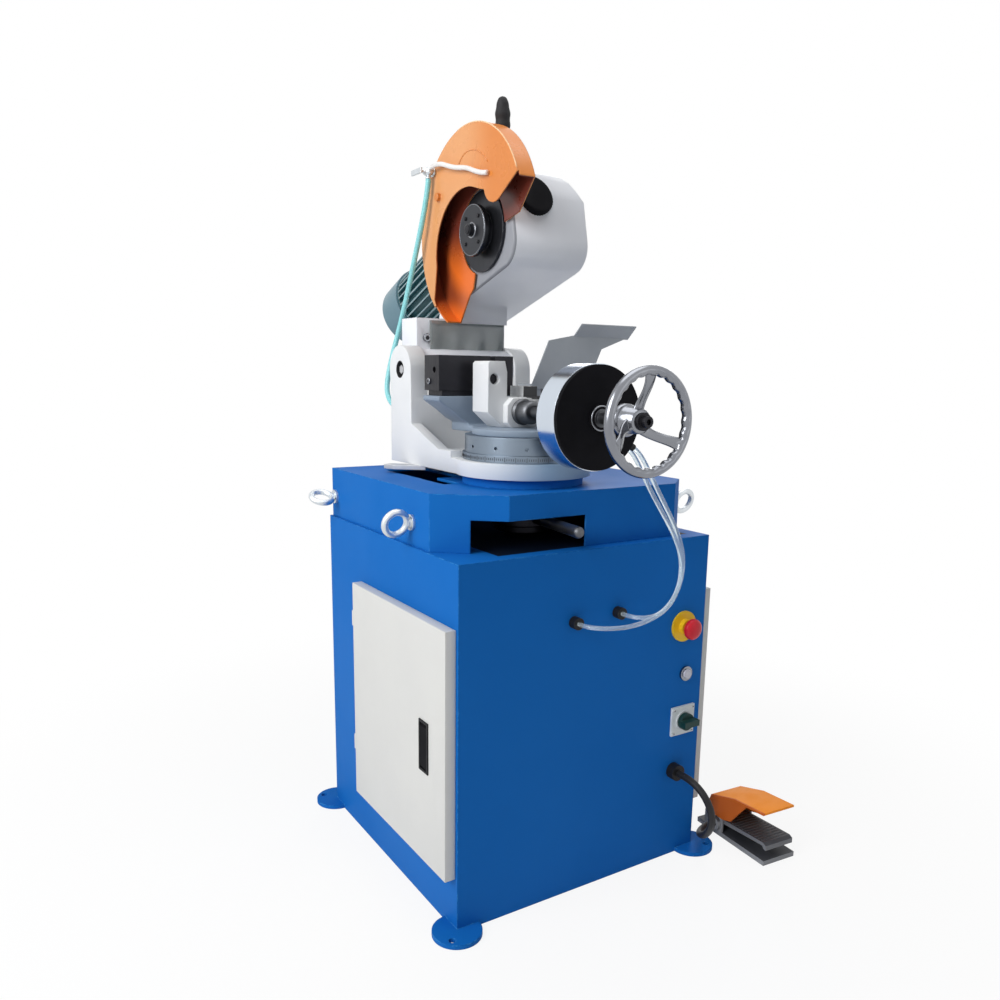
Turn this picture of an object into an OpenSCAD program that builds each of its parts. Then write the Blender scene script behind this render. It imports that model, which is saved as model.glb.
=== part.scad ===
// Metal cold saw on a cabinet: swivelling column, tilting saw head, air vise and foot pedal.
// Frame: origin at the middle of the cabinet's underside, X to the right, Y to the back, Z up.
// Units are millimetres. The head is stored raised, the vise nearly closed, the doors shut.

/* [Cabinet] */
// Cabinet width across the front
cab_w = 550; // [500:5:650]
// Cabinet depth from front to back
cab_d = 550; // [500:5:650]
// Cabinet height up to the tray
cab_h = 650; // [560:5:750]
// Sheet thickness of cabinet, tray and doors
sheet = 3; // [2:0.5:4]
// Diameter of the round foot discs
foot_d = 88; // [76:2:110]
// Diameter of the anchor holes in the feet
foot_hole_d = 12; // [8:1:16]

/* [Doors] */
// Door width
door_w = 380; // [300:5:400]
// Door height
door_h = 442; // [340:2:470]
// Door thickness, how far it stands proud
door_t = 20; // [16:1:28]

/* [Tray] */
// Tray height
tray_h = 100; // [90:1:130]
// Thickness of the tray's top plate
tray_top = 5; // [4:1:8]
// Ring diameter of the lifting eyes, measured outside
eye_d = 54; // [45:1:60]

/* [Turntable] */
// Radius of the swivel flange
flange_r = 125; // [122:1:135]
// Thickness of the swivel flange
flange_t = 27.7; // [22:0.1:32]
// Radius of the graduated scale band
scale_r = 112; // [104:1:114]
// Radius of the centre post
post_r = 40; // [32:1:46]

/* [Column] */
// Thickness of the lugs that carry the head
lug_t = 37; // [28:1:42]
// Radius of the lug ends
lug_r = 48; // [44:1:54]
// Height of the head pivot above the tray
pivot_h = 203; // [195:1:215]
// Radius of the pivot pin
pin_r = 16; // [12:1:20]

/* [Head] */
// Radius of the gear casting's nose
nose_r = 98; // [94:1:104]
// Width of the gear casting
nose_w = 170; // [160:1:185]
// Downward tilt of the motor towards its fan
motor_tilt = 22; // [20:0.5:25]
// Outside radius of the motor's fins
motor_r = 76; // [72:1:80]
// Length of the motor's finned body
motor_len = 240; // [225:1:255]
// Number of fins around the motor
fin_count = 30; // [20:1:40]
// Outside radius of the blade guard
guard_r = 188; // [180:1:196]
// Width of the blade guard
guard_w = 36; // [32:1:40]
// Radius of the blade clamp flange
clamp_r = 47.5; // [40:0.5:56]

/* [Vise] */
// Height of the jaws above the vise bed
jaw_h = 65; // [50:1:68]
// Length of the black fixed jaw
jaw_len = 163; // [150:1:175]
// Radius of the clamp cylinder
drum_r = 87.5; // [76:0.5:96]
// Length of the clamp cylinder's barrel
drum_len = 48; // [40:1:52]
// Radius of the vise screw
screw_r = 10; // [8:0.5:12]
// Radius of the handwheel's rim, to the middle of its tube
wheel_r = 77; // [66:1:90]
// Radius of the handwheel's rim tube
rim_r = 8.5; // [7:0.5:10]

/* [Controls] */
// Diameter of the emergency stop's yellow disc
estop_d = 60; // [50:1:66]
// Side of the rotary switch's plate
switch_s = 58; // [50:1:64]
// Diameter of the push button's bezel
bezel_d = 29; // [26:1:34]

/* [Pedal] */
// Pedal width
pedal_w = 82; // [74:1:100]
// Pedal length
pedal_l = 195; // [180:1:220]

/* [Hidden] */
$fn = 64;

// Colours
blue = [0.06, 0.3, 0.68];
pale = [0.85, 0.86, 0.86];
white = [0.9, 0.9, 0.88];
grey = [0.72, 0.73, 0.75];
dark = [0.22, 0.23, 0.25];
black = [0.05, 0.05, 0.06];
steel = [0.68, 0.69, 0.71];
orange = [0.95, 0.4, 0.08];
teal = [0.1, 0.28, 0.32];
red = [0.8, 0.05, 0.08];
yellow = [0.95, 0.75, 0.1];

// Cabinet faces
xl = -cab_w / 2;
xr = cab_w / 2;
yf = -cab_d / 2;
yb = cab_d / 2;
zc = cab_h;
zt = cab_h + tray_h;
foot_t = 8;
anchor = 22;

// Doors: the left one is drawn and the right one is its mirror image
door_y1 = yb - 163;
door_y0 = door_y1 - door_w;
door_z0 = (zc - door_h) / 2 - 5;
door_z1 = door_z0 + door_h;
door_x1 = xl - 0.4;
door_x0 = door_x1 - door_t;
lap = 20;
hinge_x = xl - 10;
hinge_y = door_y1 + 9;
hinge_r = 8;
hinge_pin_r = 4;
hinge_h = 30;
latch_y0 = door_y0 + 59;
latch_y1 = latch_y0 + 33;
latch_z1 = door_z1 - 178;
latch_z0 = latch_z1 - 93;
latch_pin_z = latch_z1 - 10;

// Tray outline
tray_l = xl + 5;
tray_r = xr - 13;
tray_f = yf + 25;
tray_b = yb - 5;
win_x0 = -215;
win_x1 = -5;
win_h = tray_h - 43;

// Turntable stack
tx = -40;
ty = -100;
ped_t = 16;
gap = 0.3;
flange_z0 = zt + ped_t + gap;
flange_z1 = flange_z0 + flange_t;
scale_z0 = flange_z1 + gap;
scale_z1 = scale_z0 + 12.7;
table_z1 = scale_z1 + 31;
table_r = scale_r - 4;
collar_z = zt - 60;
collar_r = post_r + 20;
lever_r = 10;
lever_turn = -97;
lever_len = 220;

// Column
arm_x0 = tx - 117;
arm_x1 = tx + 117;
col_x1 = tx + 167;
col_y0 = ty + 227;
col_y1 = ty + 320;
col_z = zt + 148;
barb_z = col_z - 20;
rib_t = 22;
py = ty + 277;
pz = zt + pivot_h;
block_x0 = arm_x0 + lug_t + gap;
block_x1 = col_x1 - lug_t - gap;
boss_r = 42;

// Head, measured from the pivot
ay = py - 117;
az = pz + 262;
head_x0 = tx + 10;
head_x1 = head_x0 + nose_w;
under = 16.3;
guard_x0 = tx - 30;
guard_x1 = guard_x0 + guard_w;
guard_t = 3;
worm_x = guard_x1 + 2 + motor_r;
centre_dist = 50;
wheel_tip = 36;
worm_tip = 13;
shaft_r = 22;
run = 0.05;
motor_s0 = 141;
motor_s1 = motor_s0 + 12;
motor_s2 = motor_s1 + motor_len;
motor_s3 = motor_s2 + 12;
fan_s1 = motor_s3 + round(motor_r * 0.92);
core_r = motor_r - 13;
fan_r = motor_r + 4;
cap_turn = 26;
cap_x = tx + 67;

// Coolant tank and pump on the cabinet floor
tank_x0 = xl + 125;
tank_x1 = xr - 85;
tank_y0 = yb - 330;
tank_y1 = yb - 50;
tank_h = 200;
pump_x = tank_x1 - 70;
pump_y = (tank_y0 + tank_y1) / 2;

// Vise
vx = tx;
vz = zt + 129;
bed_z = table_z1 + 12;
bed_top = zt + 155;
jaw_y = ty + 100;
jaw_back = ty + 157;
jaw_x0 = tx - 123;
jaw_x1 = jaw_x0 + jaw_len;
shoe_t = 10;
slot_w = 12;
slot_x = tx - 6;
mj_y0 = ty + 20;
mj_y1 = ty + 75;
mj_x0 = tx - 65;
mj_x1 = tx + 50;
drum_y1 = ty - 168;
drum_y0 = drum_y1 - drum_len;
cap_y = drum_y0 - 6;
wheel_y = ty - 341;
hub_y0 = wheel_y + 16;
hub_y1 = wheel_y + 70;

// Controls on the cabinet's front
estop_x = xr - 55;
estop_z = zc - 173;
button_x = xr - 43;
button_z = zc - 270;
switch_x = xr - 46;
switch_z = zc - 365;
gland_x = xr - 63;
gland_z = zc - 468;
port_a = [-43, zc - 127];
port_b = [54, zc - 122];
port_r = 11;
port_l = 15;

// Pedal, drawn about its own middle
pedal_at = [xr + 117, yf - 37, 0];
pedal_turn = -4.4;
pw = pedal_w / 2;
pl = pedal_l / 2;
ped_piv = [pl - 42, 30];

function pedal_point(x, y, z) = pedal_at + [x * cos(pedal_turn) - y * sin(pedal_turn),
    x * sin(pedal_turn) + y * cos(pedal_turn), z];

// Hose and conduit sizes
air_r = 4;
cool_r = 5.5;
cond_r = 7;

// Routes, from end to end
air_a = [[vx + 92, drum_y0 + 14, vz - 53], [vx + 103, drum_y0 + 14, vz - 59.4],
    [vx + 119, drum_y0 + 13, vz - 78], [vx + 137, drum_y0 + 10, vz - 112], [vx + 168, drum_y0 + 5, vz - 162],
    [vx + 195, drum_y0, vz - 210], [vx + 206, drum_y0 - 5, vz - 250], [vx + 199, drum_y0 - 11, vz - 288],
    [vx + 176, drum_y0 - 19, vz - 322], [port_b[0] + 52, yf - 65, port_b[1] + 10],
    [port_b[0] + 30, yf - 64, port_b[1] + 2], [port_b[0] + 11, yf - 53, port_b[1]],
    [port_b[0] + 2, yf - 38, port_b[1]], [port_b[0], yf - 25, port_b[1]],
    [port_b[0], yf - port_l, port_b[1]]];
air_b = [[vx + 92, drum_y0 + 34, vz - 53], [vx + 103, drum_y0 + 34, vz - 59.4],
    [vx + 118, drum_y0 + 31, vz - 79], [vx + 133, drum_y0 + 23, vz - 116], [vx + 158, drum_y0 + 8, vz - 166],
    [vx + 183, drum_y0 - 6, vz - 214], [vx + 193, drum_y0 - 15, vz - 254], [vx + 184, drum_y0 - 23, vz - 295],
    [vx + 156, drum_y0 - 31, vz - 331], [vx + 116, yf - 74, port_a[1] + 9], [vx + 76, yf - 75, port_a[1] + 2],
    [port_a[0] + 46, yf - 70, port_a[1]], [port_a[0] + 20, yf - 58, port_a[1]],
    [port_a[0] + 5, yf - 42, port_a[1]], [port_a[0], yf - 27, port_a[1]],
    [port_a[0], yf - port_l, port_a[1]]];
cool = [[tx - 42, ay + 135, az + 112], [tx - 42, ay + 136, az + 98], [tx - 45, ay + 152, az + 40],
    [tx - 50, ay + 178, az - 30], [tx - 58, ay + 202, az - 110], [tx - 72, ay + 219, az - 190],
    [tx - 86, ay + 226, az - 246], [tx - 96, col_y1 + 66, barb_z + 46], [tx - 98, col_y1 + 59.8, barb_z + 23],
    [tx - 98, col_y1 + 46, barb_z + 8.5], [tx - 98, col_y1 + 32, barb_z + 1.8],
    [tx - 98, col_y1 + 20, barb_z], [tx - 98, col_y1 + 12.3, barb_z]];
cond = [[gland_x, yf - 18, gland_z], [gland_x, yf - 31, gland_z], [gland_x, yf - 56, gland_z - 1],
    [gland_x + 3, yf - 80, gland_z - 13], [gland_x + 9, yf - 96, gland_z - 36],
    [gland_x + 17, yf - 98, gland_z - 67], [gland_x + 27, yf - 84, gland_z - 97],
    [gland_x + 40, yf - 61, gland_z - 122], [gland_x + 55, yf - 36, gland_z - 140],
    pedal_point(-pw - 71, pl - 85, 33), pedal_point(-pw - 53, pl - 70, 28),
    pedal_point(-pw - 35, pl - 61, 26.2), pedal_point(-pw - 19, pl - 58, 26),
    pedal_point(-pw - 8, pl - 58, 26)];

// Spots of the lifting eyes: side, y, depth below the tray top, turn of the ring
eye_spots = [[-1, tray_f + 149, 58, -15], [-1, tray_b - 18, 58, 65], [1, tray_f + 68, 48, 15],
    [1, tray_b - 18, 58, 65]];

// Cut-out of the guard's outer plate, about the spindle
guard_cut = concat([[-300, 120], [-169, 75]], arc([-95, 72], 36, 230, 345, 10),
    arc([10, -38], 116, 112, -10, 16),
    [[131, -105], [134, -121], [127, -133], [160, -175], [160, -260], [-300, -260]]);

// Outline of the gear casting's nose from its top, down the front and along the underside
nose = concat([[0.77 * nose_r, 1.31 * nose_r], [0.2 * nose_r, 1.28 * nose_r], [-0.1 * nose_r, 1.18 * nose_r],
    [-0.37 * nose_r, 1.03 * nose_r], [-0.65 * nose_r, 0.81 * nose_r], [-0.88 * nose_r, 0.59 * nose_r]],
    arc([-0.56 * nose_r, -0.265 * nose_r], 0.49 * nose_r, 168, 270 - under, 8));

// Cut-out of the guard's rim and inner plate
rim_cut = [[-300, 120], [-176, 72], [-128, 18], [-70, 5], [-60, -50], [22, -62], [32, -104], [46, -116],
    [86, -172], [120, -240], [-300, -260]];

// A box between two values on each axis
module box(x0, x1, y0, y1, z0, z1) {
    translate([x0, y0, z0]) cube([x1 - x0, y1 - y0, z1 - z0]);
}

// A (y, z) outline drawn out along X
module along_x(x0, x1) {
    translate([x0, 0, 0]) rotate([90, 0, 90]) linear_extrude(x1 - x0) children();
}

// An (x, z) outline drawn out along Y
module along_y(y0, y1) {
    translate([0, y1, 0]) rotate([90, 0, 0]) linear_extrude(y1 - y0) children();
}

module rod_x(x0, x1, y, z, r) {
    translate([x0, y, z]) rotate([0, 90, 0]) cylinder(r = r, h = x1 - x0);
}

module rod_y(y0, y1, x, z, r) {
    translate([x, y1, z]) rotate([90, 0, 0]) cylinder(r = r, h = y1 - y0);
}

module rod_z(z0, z1, x, y, r) {
    translate([x, y, z0]) cylinder(r = r, h = z1 - z0);
}

// A round bar between two points
module bar(p, q, r) {
    v = q - p;
    l = norm(v);
    translate(p) rotate([0, acos(v[2] / l), atan2(v[1], v[0])]) cylinder(r = r, h = l);
}

// Smooth route along hand-placed points: it starts at the first, ends at the last and rounds the others
function blend4(a, b, c, d, t) = (pow(1 - t, 3) * a + (3 * t * t * t - 6 * t * t + 4) * b
    + (-3 * t * t * t + 3 * t * t + 3 * t + 1) * c + t * t * t * d) / 6;
function stop(p, i) = i < 0 ? 2 * p[0] - p[1]
    : i > len(p) - 1 ? 2 * p[len(p) - 1] - p[len(p) - 2] : p[i];
function route(p, n) = [for (i = [0 : len(p) - 2], k = [0 : n - 1])
    blend4(stop(p, i - 1), p[i], p[i + 1], stop(p, i + 2), k / n), p[len(p) - 1]];
function arc(c, r, a0, a1, n) = [for (k = [0 : n])
    let (a = a0 + (a1 - a0) * k / n) c + r * [cos(a), sin(a)]];
function unit(v) = v / norm(v);
function square_to(u, t) = unit(u - t * (u * t));

// A round tube swept along a route as one closed skin
module tube(p, r, sides, side) {
    n = len(p);
    t = [for (i = [0 : n - 1]) unit(p[min(i + 1, n - 1)] - p[max(i - 1, 0)])];
    u = [for (i = 0, w = square_to(side, t[0]); i < n; i = i + 1, w = square_to(w, t[min(i, n - 1)])) w];
    rings = [for (i = [0 : n - 1], k = [0 : sides - 1])
        p[i] + r * (cos(360 * k / sides) * u[i] + sin(360 * k / sides) * cross(t[i], u[i]))];
    sides_f = [for (i = [0 : n - 2], k = [0 : sides - 1])
        [i * sides + k, i * sides + (k + 1) % sides, (i + 1) * sides + (k + 1) % sides, (i + 1) * sides + k]];
    polyhedron(points = rings, faces = concat([for (f = sides_f) [f[3], f[2], f[1], f[0]]],
        [[for (k = [0 : sides - 1]) k]], [[for (k = [sides - 1 : -1 : 0]) (n - 1) * sides + k]]));
}

// Place things on the motor's axis: Z runs from the worm towards the fan
module motor_frame() {
    translate([worm_x, ay, az]) rotate([-(90 + motor_tilt), 0, 0]) translate([0, -centre_dist, 0]) children();
}

module pedal_frame() {
    translate(pedal_at) rotate([0, 0, pedal_turn]) children();
}

function tray_plan(i) = [[tray_l + i, tray_b - i], [tray_l + i, tray_f + 85 + 0.4 * i],
    [tray_l + 105 + 0.4 * i, tray_f + i], [tray_r - 57 - 0.4 * i, tray_f + i],
    [tray_r - i, tray_f + 50 + 0.4 * i], [tray_r - i, tray_b - i]];

module cabinet() {
    color(blue) difference() {
        union() {
            difference() {
                box(xl, xr, yf, yb, 0, zc);
                box(xl + sheet, xr - sheet, yf + sheet, yb - sheet, sheet, zc - sheet);
            }
            for (sx = [-1, 1], sy = [-1, 1])
                rod_z(0, foot_t, sx * xr, sy * yb, foot_d / 2);
            for (m = [0, 1]) mirror([m, 0, 0]) hinge_halves(0);
        }
        for (sx = [-1, 1], sy = [-1, 1])
            rod_z(-1, foot_t + 1, sx * (xr + anchor), sy * (yb + anchor), foot_hole_d / 2);
        for (m = [0, 1]) mirror([m, 0, 0])
            box(xl - 1, xl + sheet + 1, door_y0 + lap, door_y1 - lap, door_z0 + lap, door_z1 - lap);
        rod_y(yf - 1, yf + sheet + 1, estop_x, estop_z, 11);
        rod_y(yf - 1, yf + sheet + 1, button_x, button_z, 11);
        rod_y(yf - 1, yf + sheet + 1, switch_x, switch_z, 8);
        rod_y(yf - 1, yf + sheet + 1, gland_x, gland_z, 8);
    }
}

// Hinge knuckles: 0 draws the cabinet's lower halves with their pins, 1 the door's upper halves
module hinge_halves(which) {
    for (z = [door_z0 + 60, door_z1 - 60 - 2 * hinge_h]) {
        if (which == 0) {
            rod_z(z, z + hinge_h - gap, hinge_x, hinge_y, hinge_r);
            rod_z(z, z + 2 * hinge_h - 4, hinge_x, hinge_y, hinge_pin_r);
            box(hinge_x, xl + 1, hinge_y, hinge_y + hinge_r, z, z + hinge_h - gap);
            box(xl - 2.5, xl + 1, hinge_y, hinge_y + 30, z, z + hinge_h - gap);
        }
        if (which == 1) {
            difference() {
                union() {
                    rod_z(z + hinge_h, z + 2 * hinge_h, hinge_x, hinge_y, hinge_r);
                    box(hinge_x - hinge_r, hinge_x, door_y1 - 2, hinge_y, z + hinge_h, z + 2 * hinge_h);
                }
                rod_z(z + hinge_h - 1, z + 2 * hinge_h - 3, hinge_x, hinge_y, hinge_pin_r + run);
            }
        }
    }
}

module door_shape() {
    difference() {
        union() {
            difference() {
                box(door_x0, door_x1, door_y0, door_y1, door_z0, door_z1);
                box(door_x0 + sheet, door_x1 + 1, door_y0 + sheet, door_y1 - sheet,
                    door_z0 + sheet, door_z1 - sheet);
            }
            hinge_halves(1);
        }
        box(door_x0 - 1, door_x0 + sheet + 1, latch_y0, latch_y1, latch_z0, latch_z1);
    }
}

// Shallow pan that the paddle lies in
module latch_shape() {
    difference() {
        box(door_x0 - 2, door_x0 + 12, latch_y0, latch_y1, latch_z0, latch_z1);
        box(door_x0 - 3, door_x0 + 9, latch_y0 + 4, latch_y1 - 4, latch_z0 + 4, latch_z1 - 4);
        rod_y(latch_y0 + 2, latch_y1 - 2, door_x0 + 2, latch_pin_z, 2.5 + run);
    }
}

module paddle_shape() {
    box(door_x0 - 1.5, door_x0 + 3.5, latch_y0 + 5, latch_y1 - 5, latch_z0 + 8, latch_pin_z);
    rod_y(latch_y0 + 2.3, latch_y1 - 2.3, door_x0 + 2, latch_pin_z, 2.5);
}

module left_door() {
    color(pale) door_shape();
}

module left_latch() {
    color(black) latch_shape();
}

module left_paddle() {
    color(dark) paddle_shape();
}

module right_door() {
    color(pale) mirror([1, 0, 0]) door_shape();
}

module right_latch() {
    color(black) mirror([1, 0, 0]) latch_shape();
}

module right_paddle() {
    color(dark) mirror([1, 0, 0]) paddle_shape();
}

module tray() {
    color(blue) difference() {
        translate([0, 0, zc]) linear_extrude(tray_h) polygon(tray_plan(0));
        translate([0, 0, zc - 1]) linear_extrude(tray_h - tray_top + 1) polygon(tray_plan(sheet));
        translate([0, 0, zc - 1]) linear_extrude(win_h + 1)
            polygon([[win_x0 - 7, tray_f + 33], [tray_l + 100, tray_f - 12], [win_x1, tray_f - 12],
                [win_x1, tray_f + 10], [tray_l + 110, tray_f + 10], [win_x0 + 7, tray_f + 50]]);
        rod_z(zt - tray_top - 1, zt + 1, tx, ty, post_r);
        box(tx - 148, tx - 60, ty + 120, ty + 290, zt - tray_top - 1, zt + 1);
        box(tx - 150, tx - 116, ty + 30, ty + 120.1, zt - tray_top - 1, zt + 1);
        for (e = eye_spots) eye_at(e) translate([0, 0, -10]) cylinder(r = 5, h = 20);
    }
}

module eye_at(e) {
    translate([e[0] < 0 ? tray_l : tray_r, e[1], zt - e[2]]) rotate([0, e[0] * 90, 0]) rotate([0, 0, e[3]])
        children();
}

module eye(e) {
    ring = (eye_d - 12) / 2;
    eye_at(e) {
        translate([0, 0, -sheet - 12]) cylinder(r = 5, h = 20);
        cylinder(r = 14, h = 5);
        translate([0, 0, -sheet - 8]) cylinder(r = 9, h = 8, $fn = 6);
        cylinder(r = 8, h = 10);
        translate([0, 0, 5 + ring + 5]) rotate([90, 0, 0]) rotate_extrude() translate([ring, 0]) circle(6);
    }
}

module lifting_eyes() {
    color(steel) for (e = eye_spots) eye(e);
}

// Open coolant tank on the cabinet floor
module coolant_tank() {
    color(steel) difference() {
        box(tank_x0, tank_x1, tank_y0, tank_y1, sheet, sheet + tank_h);
        box(tank_x0 + 2, tank_x1 - 2, tank_y0 + 2, tank_y1 - 2, sheet + 2, sheet + tank_h + 1);
    }
}

// Immersion pump standing in the tank
module coolant_pump() {
    color(teal) {
        rod_z(sheet + 2, sheet + 0.75 * tank_h, pump_x, pump_y, 30);
        rod_z(sheet + 0.75 * tank_h, sheet + 0.8 * tank_h, pump_x, pump_y, 55);
        rod_z(sheet + 0.8 * tank_h, sheet + 1.45 * tank_h, pump_x, pump_y, 48);
        rod_y(pump_y - 70, pump_y, pump_x, sheet + 0.65 * tank_h, 10);
    }
}

// Switchgear plate on the inside of the back wall
module electric_panel() {
    color(grey) {
        box(-180, 180, yb - sheet - 4, yb - sheet, zc - 330, zc - 60);
        for (x = [-140, -70, 0, 70])
            box(x, x + 45, yb - sheet - 84, yb - sheet - 3, zc - 170, zc - 90);
        box(-150, 150, yb - sheet - 44, yb - sheet - 3, zc - 290, zc - 240);
    }
}

module pedestal() {
    color(blue) difference() {
        rod_z(zt, zt + ped_t, tx, ty, scale_r);
        rod_z(zt - 1, zt + ped_t + 1, tx, ty, post_r);
    }
}

module post() {
    color(steel) {
        rod_z(collar_z - 25, scale_z1, tx, ty, post_r);
        rod_z(collar_z - 28, collar_z - 18, tx, ty, post_r + 12);
    }
}

// Clamp collar under the tray top with the rod that reaches out of the window
module lock_lever() {
    color(steel) {
        difference() {
            rod_z(collar_z - 15, collar_z + 15, tx, ty, collar_r);
            rod_z(collar_z - 16, collar_z + 16, tx, ty, post_r + run);
        }
        translate([tx, ty, collar_z]) rotate([0, 0, lever_turn]) rotate([0, 90, 0])
            translate([0, 0, post_r + 8]) cylinder(r = lever_r, h = lever_len - post_r - 8 - lever_r);
        translate([tx, ty, collar_z]) rotate([0, 0, lever_turn]) translate([lever_len - lever_r, 0, 0])
            sphere(lever_r);
    }
}

module scale_band() {
    color(dark) difference() {
        rod_z(scale_z0, scale_z1, tx, ty, scale_r);
        rod_z(scale_z0 - 1, scale_z1 + 1, tx, ty, post_r);
    }
}

module table_disc() {
    color(steel) difference() {
        rod_z(scale_z1, table_z1, tx, ty, table_r);
        for (a = [0 : 30 : 330]) translate([tx, ty, scale_z1 + 12]) rotate([0, 90, a])
            translate([0, 0, table_r - 6]) cylinder(r = 3, h = 10);
    }
}

module swivel_arm() {
    color(white) difference() {
        union() {
            rod_z(flange_z0, flange_z1, tx, ty, flange_r);
            box(arm_x0, arm_x1, ty, col_y1, flange_z0, flange_z1);
            for (x = [arm_x0, arm_x1 - rib_t]) along_x(x, x + rib_t)
                polygon([[ty + 65, flange_z1 - 1], [ty + 65, zt + 56], [ty + 115, zt + 56],
                    [col_y0 + 5, zt + 99], [col_y0 + 5, flange_z1 - 1]]);
            box(arm_x0, col_x1, col_y0, col_y1, flange_z0, col_z);
            for (x = [arm_x0, col_x1 - lug_t]) along_x(x, x + lug_t) {
                translate([py, pz]) circle(lug_r);
                polygon([[col_y0, col_z - 1], [col_y1, col_z - 1], [py + lug_r, pz], [py - lug_r, pz]]);
            }
        }
        rod_z(flange_z0 - 1, flange_z1 + 1, tx, ty, post_r + run);
        rod_x(arm_x0 - 1, col_x1 + 1, py, pz, pin_r);
        box(block_x0, block_x1, col_y0 + 22, col_y1 - 22, flange_z1 + 30, col_z + 1);
    }
}

module pivot_pin() {
    color(steel) {
        rod_x(arm_x0 + 10, col_x1 - 10, py, pz, pin_r);
        translate([arm_x0 + 3, py, pz]) rotate([0, 90, 0]) cylinder(r = 9, h = 8, $fn = 6);
        translate([col_x1 - 11, py, pz]) rotate([0, 90, 0]) cylinder(r = 9, h = 8, $fn = 6);
    }
}

// Flat pointer under the arm's left edge
module stop_tongue() {
    color(steel) translate([0, 0, flange_z0 - 8]) linear_extrude(8)
        polygon([[tx - 110, ty + 180], [tx - 110, ty + 230], [tx - 150, ty + 262], [tx - 169, ty + 246],
            [tx - 160, ty + 222]]);
}

module splash_sheet() {
    x0 = tx + 121;
    z0 = zt + 167;
    color(grey) {
        along_y(ty + 158, ty + 160.5)
            polygon([[x0, z0], [x0 + 45, z0 + 99], [x0 + 110, z0 + 111], [x0 + 257, z0 + 111],
                [x0 + 183, z0 + 84], [x0 + 144, z0]]);
        along_x(x0 + 110, x0 + 257) polygon([[ty + 160.5, z0 + 106], [ty + 160.5, z0 + 111],
            [ty + 134.6, z0 + 134], [ty + 133, z0 + 132]]);
        box(col_x1 - 30, col_x1, ty + 160, col_y0, z0 - 40, z0 + 10);
    }
}

module vise_bed() {
    color(grey) {
        rod_z(table_z1, bed_z, tx, ty, table_r - 13);
        box(tx - 60, tx + 100, ty, ty + 165, table_z1, bed_z);
        box(tx - 60, tx + 60, jaw_y, ty + 165, bed_z - 1, bed_top);
        along_y(jaw_y, ty + 165)
            polygon([[tx - 59, bed_z + 4], [tx - 75, bed_z + 12], [tx - 95, bed_z + 28],
                [tx - 118, bed_top - 12], [jaw_x0, bed_top - 8], [jaw_x0, bed_top], [tx - 59, bed_top]]);
    }
}

module jaw_shoe() {
    color(dark) box(jaw_x0 + 8, jaw_x1 + 10, jaw_y + 3, jaw_back, bed_top, bed_top + shoe_t);
}

module fixed_jaw() {
    color(black) difference() {
        box(jaw_x0, jaw_x1, jaw_y, jaw_back, bed_top + shoe_t, bed_top + shoe_t + jaw_h);
        box(slot_x - slot_w / 2, slot_x + slot_w / 2, jaw_y - 1, jaw_back + 1,
            bed_top + shoe_t + 8, bed_top + shoe_t + jaw_h + 1);
        rod_x(jaw_x0 - 1, jaw_x0 + 20, jaw_y + 18, bed_top + shoe_t + 38, 6);
    }
}

module moving_jaw() {
    top = bed_top + jaw_h;
    color(white) difference() {
        union() {
            along_y(mj_y0, mj_y1) polygon([[mj_x0, bed_z + 28], [mj_x0 + 32, bed_z + gap],
                [mj_x1, bed_z + gap], [mj_x1, bed_top], [mj_x0, bed_top]]);
            along_y(mj_y0, mj_y1) polygon([[mj_x0, bed_top - 20], [mj_x0, top - 4], [mj_x0 + 4, top],
                [mj_x0 + 36, top], [mj_x0 + 41, top - 20], [mj_x0 + 41, bed_top - 20]]);
            box(tx + 18, mj_x1, mj_y0 + 10, mj_y1, bed_top - 5, bed_top + 20);
            along_y(mj_y0 - 15, mj_y0 + 1) polygon([[vx + 32, bed_z + gap], [vx + 32, vz + 12],
                [vx + 20, bed_top - 1], [vx - 20, bed_top - 1], [vx - 32, vz + 12],
                [vx - 32, bed_z + gap + 9], [vx - 22, bed_z + gap]]);
        }
        rod_y(mj_y0 - 16, mj_y1 + 1, vx, vz, screw_r + run);
        rod_y(mj_y0 - 1, mj_y0 + 14, mj_x0 + 14, top - 32, 10);
    }
}

module jaw_nut() {
    color(steel) difference() {
        union() {
            rod_y(mj_y0 - 21, mj_y0 - 15, vx, vz, 24);
            rod_y(mj_y0 - 54, mj_y0 - 21, vx, vz, 21);
        }
        rod_y(mj_y0 - 55, mj_y0 - 14, vx, vz, screw_r + run);
    }
}

module vise_bracket() {
    color(dark) difference() {
        union() {
            box(tx + 68, tx + 96, drum_y1, ty + 120, bed_z, bed_top);
            box(tx - 70, tx + 96, drum_y1, drum_y1 + 14, vz - 45, vz + 45);
        }
        rod_y(drum_y1 - 1, drum_y1 + 15, vx, vz, screw_r + 1);
    }
}

// Air cylinder: barrel with a closed back, open to its front cap
module drum() {
    color(steel) difference() {
        rod_y(drum_y0, drum_y1, vx, vz, drum_r);
        rod_y(drum_y0 - 1, drum_y1 - 10, vx, vz, drum_r - 6);
        rod_y(drum_y0 - 1, drum_y1 + 1, vx, vz, screw_r + 1);
    }
}

module drum_cap() {
    color(black) difference() {
        union() {
            rod_y(cap_y, drum_y0, vx, vz, drum_r - 1.5);
            rod_y(cap_y - 6, cap_y, vx, vz, 20.5);
        }
        rod_y(cap_y - 7, drum_y0 + 1, vx, vz, screw_r + run);
    }
}

module vise_screw() {
    color(steel) {
        rod_y(hub_y0 + 4, mj_y1 - 5, vx, vz, screw_r);
        rod_y(cap_y - 7 - gap, cap_y - 6 - gap, vx, vz, screw_r + 5);
    }
}

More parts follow.
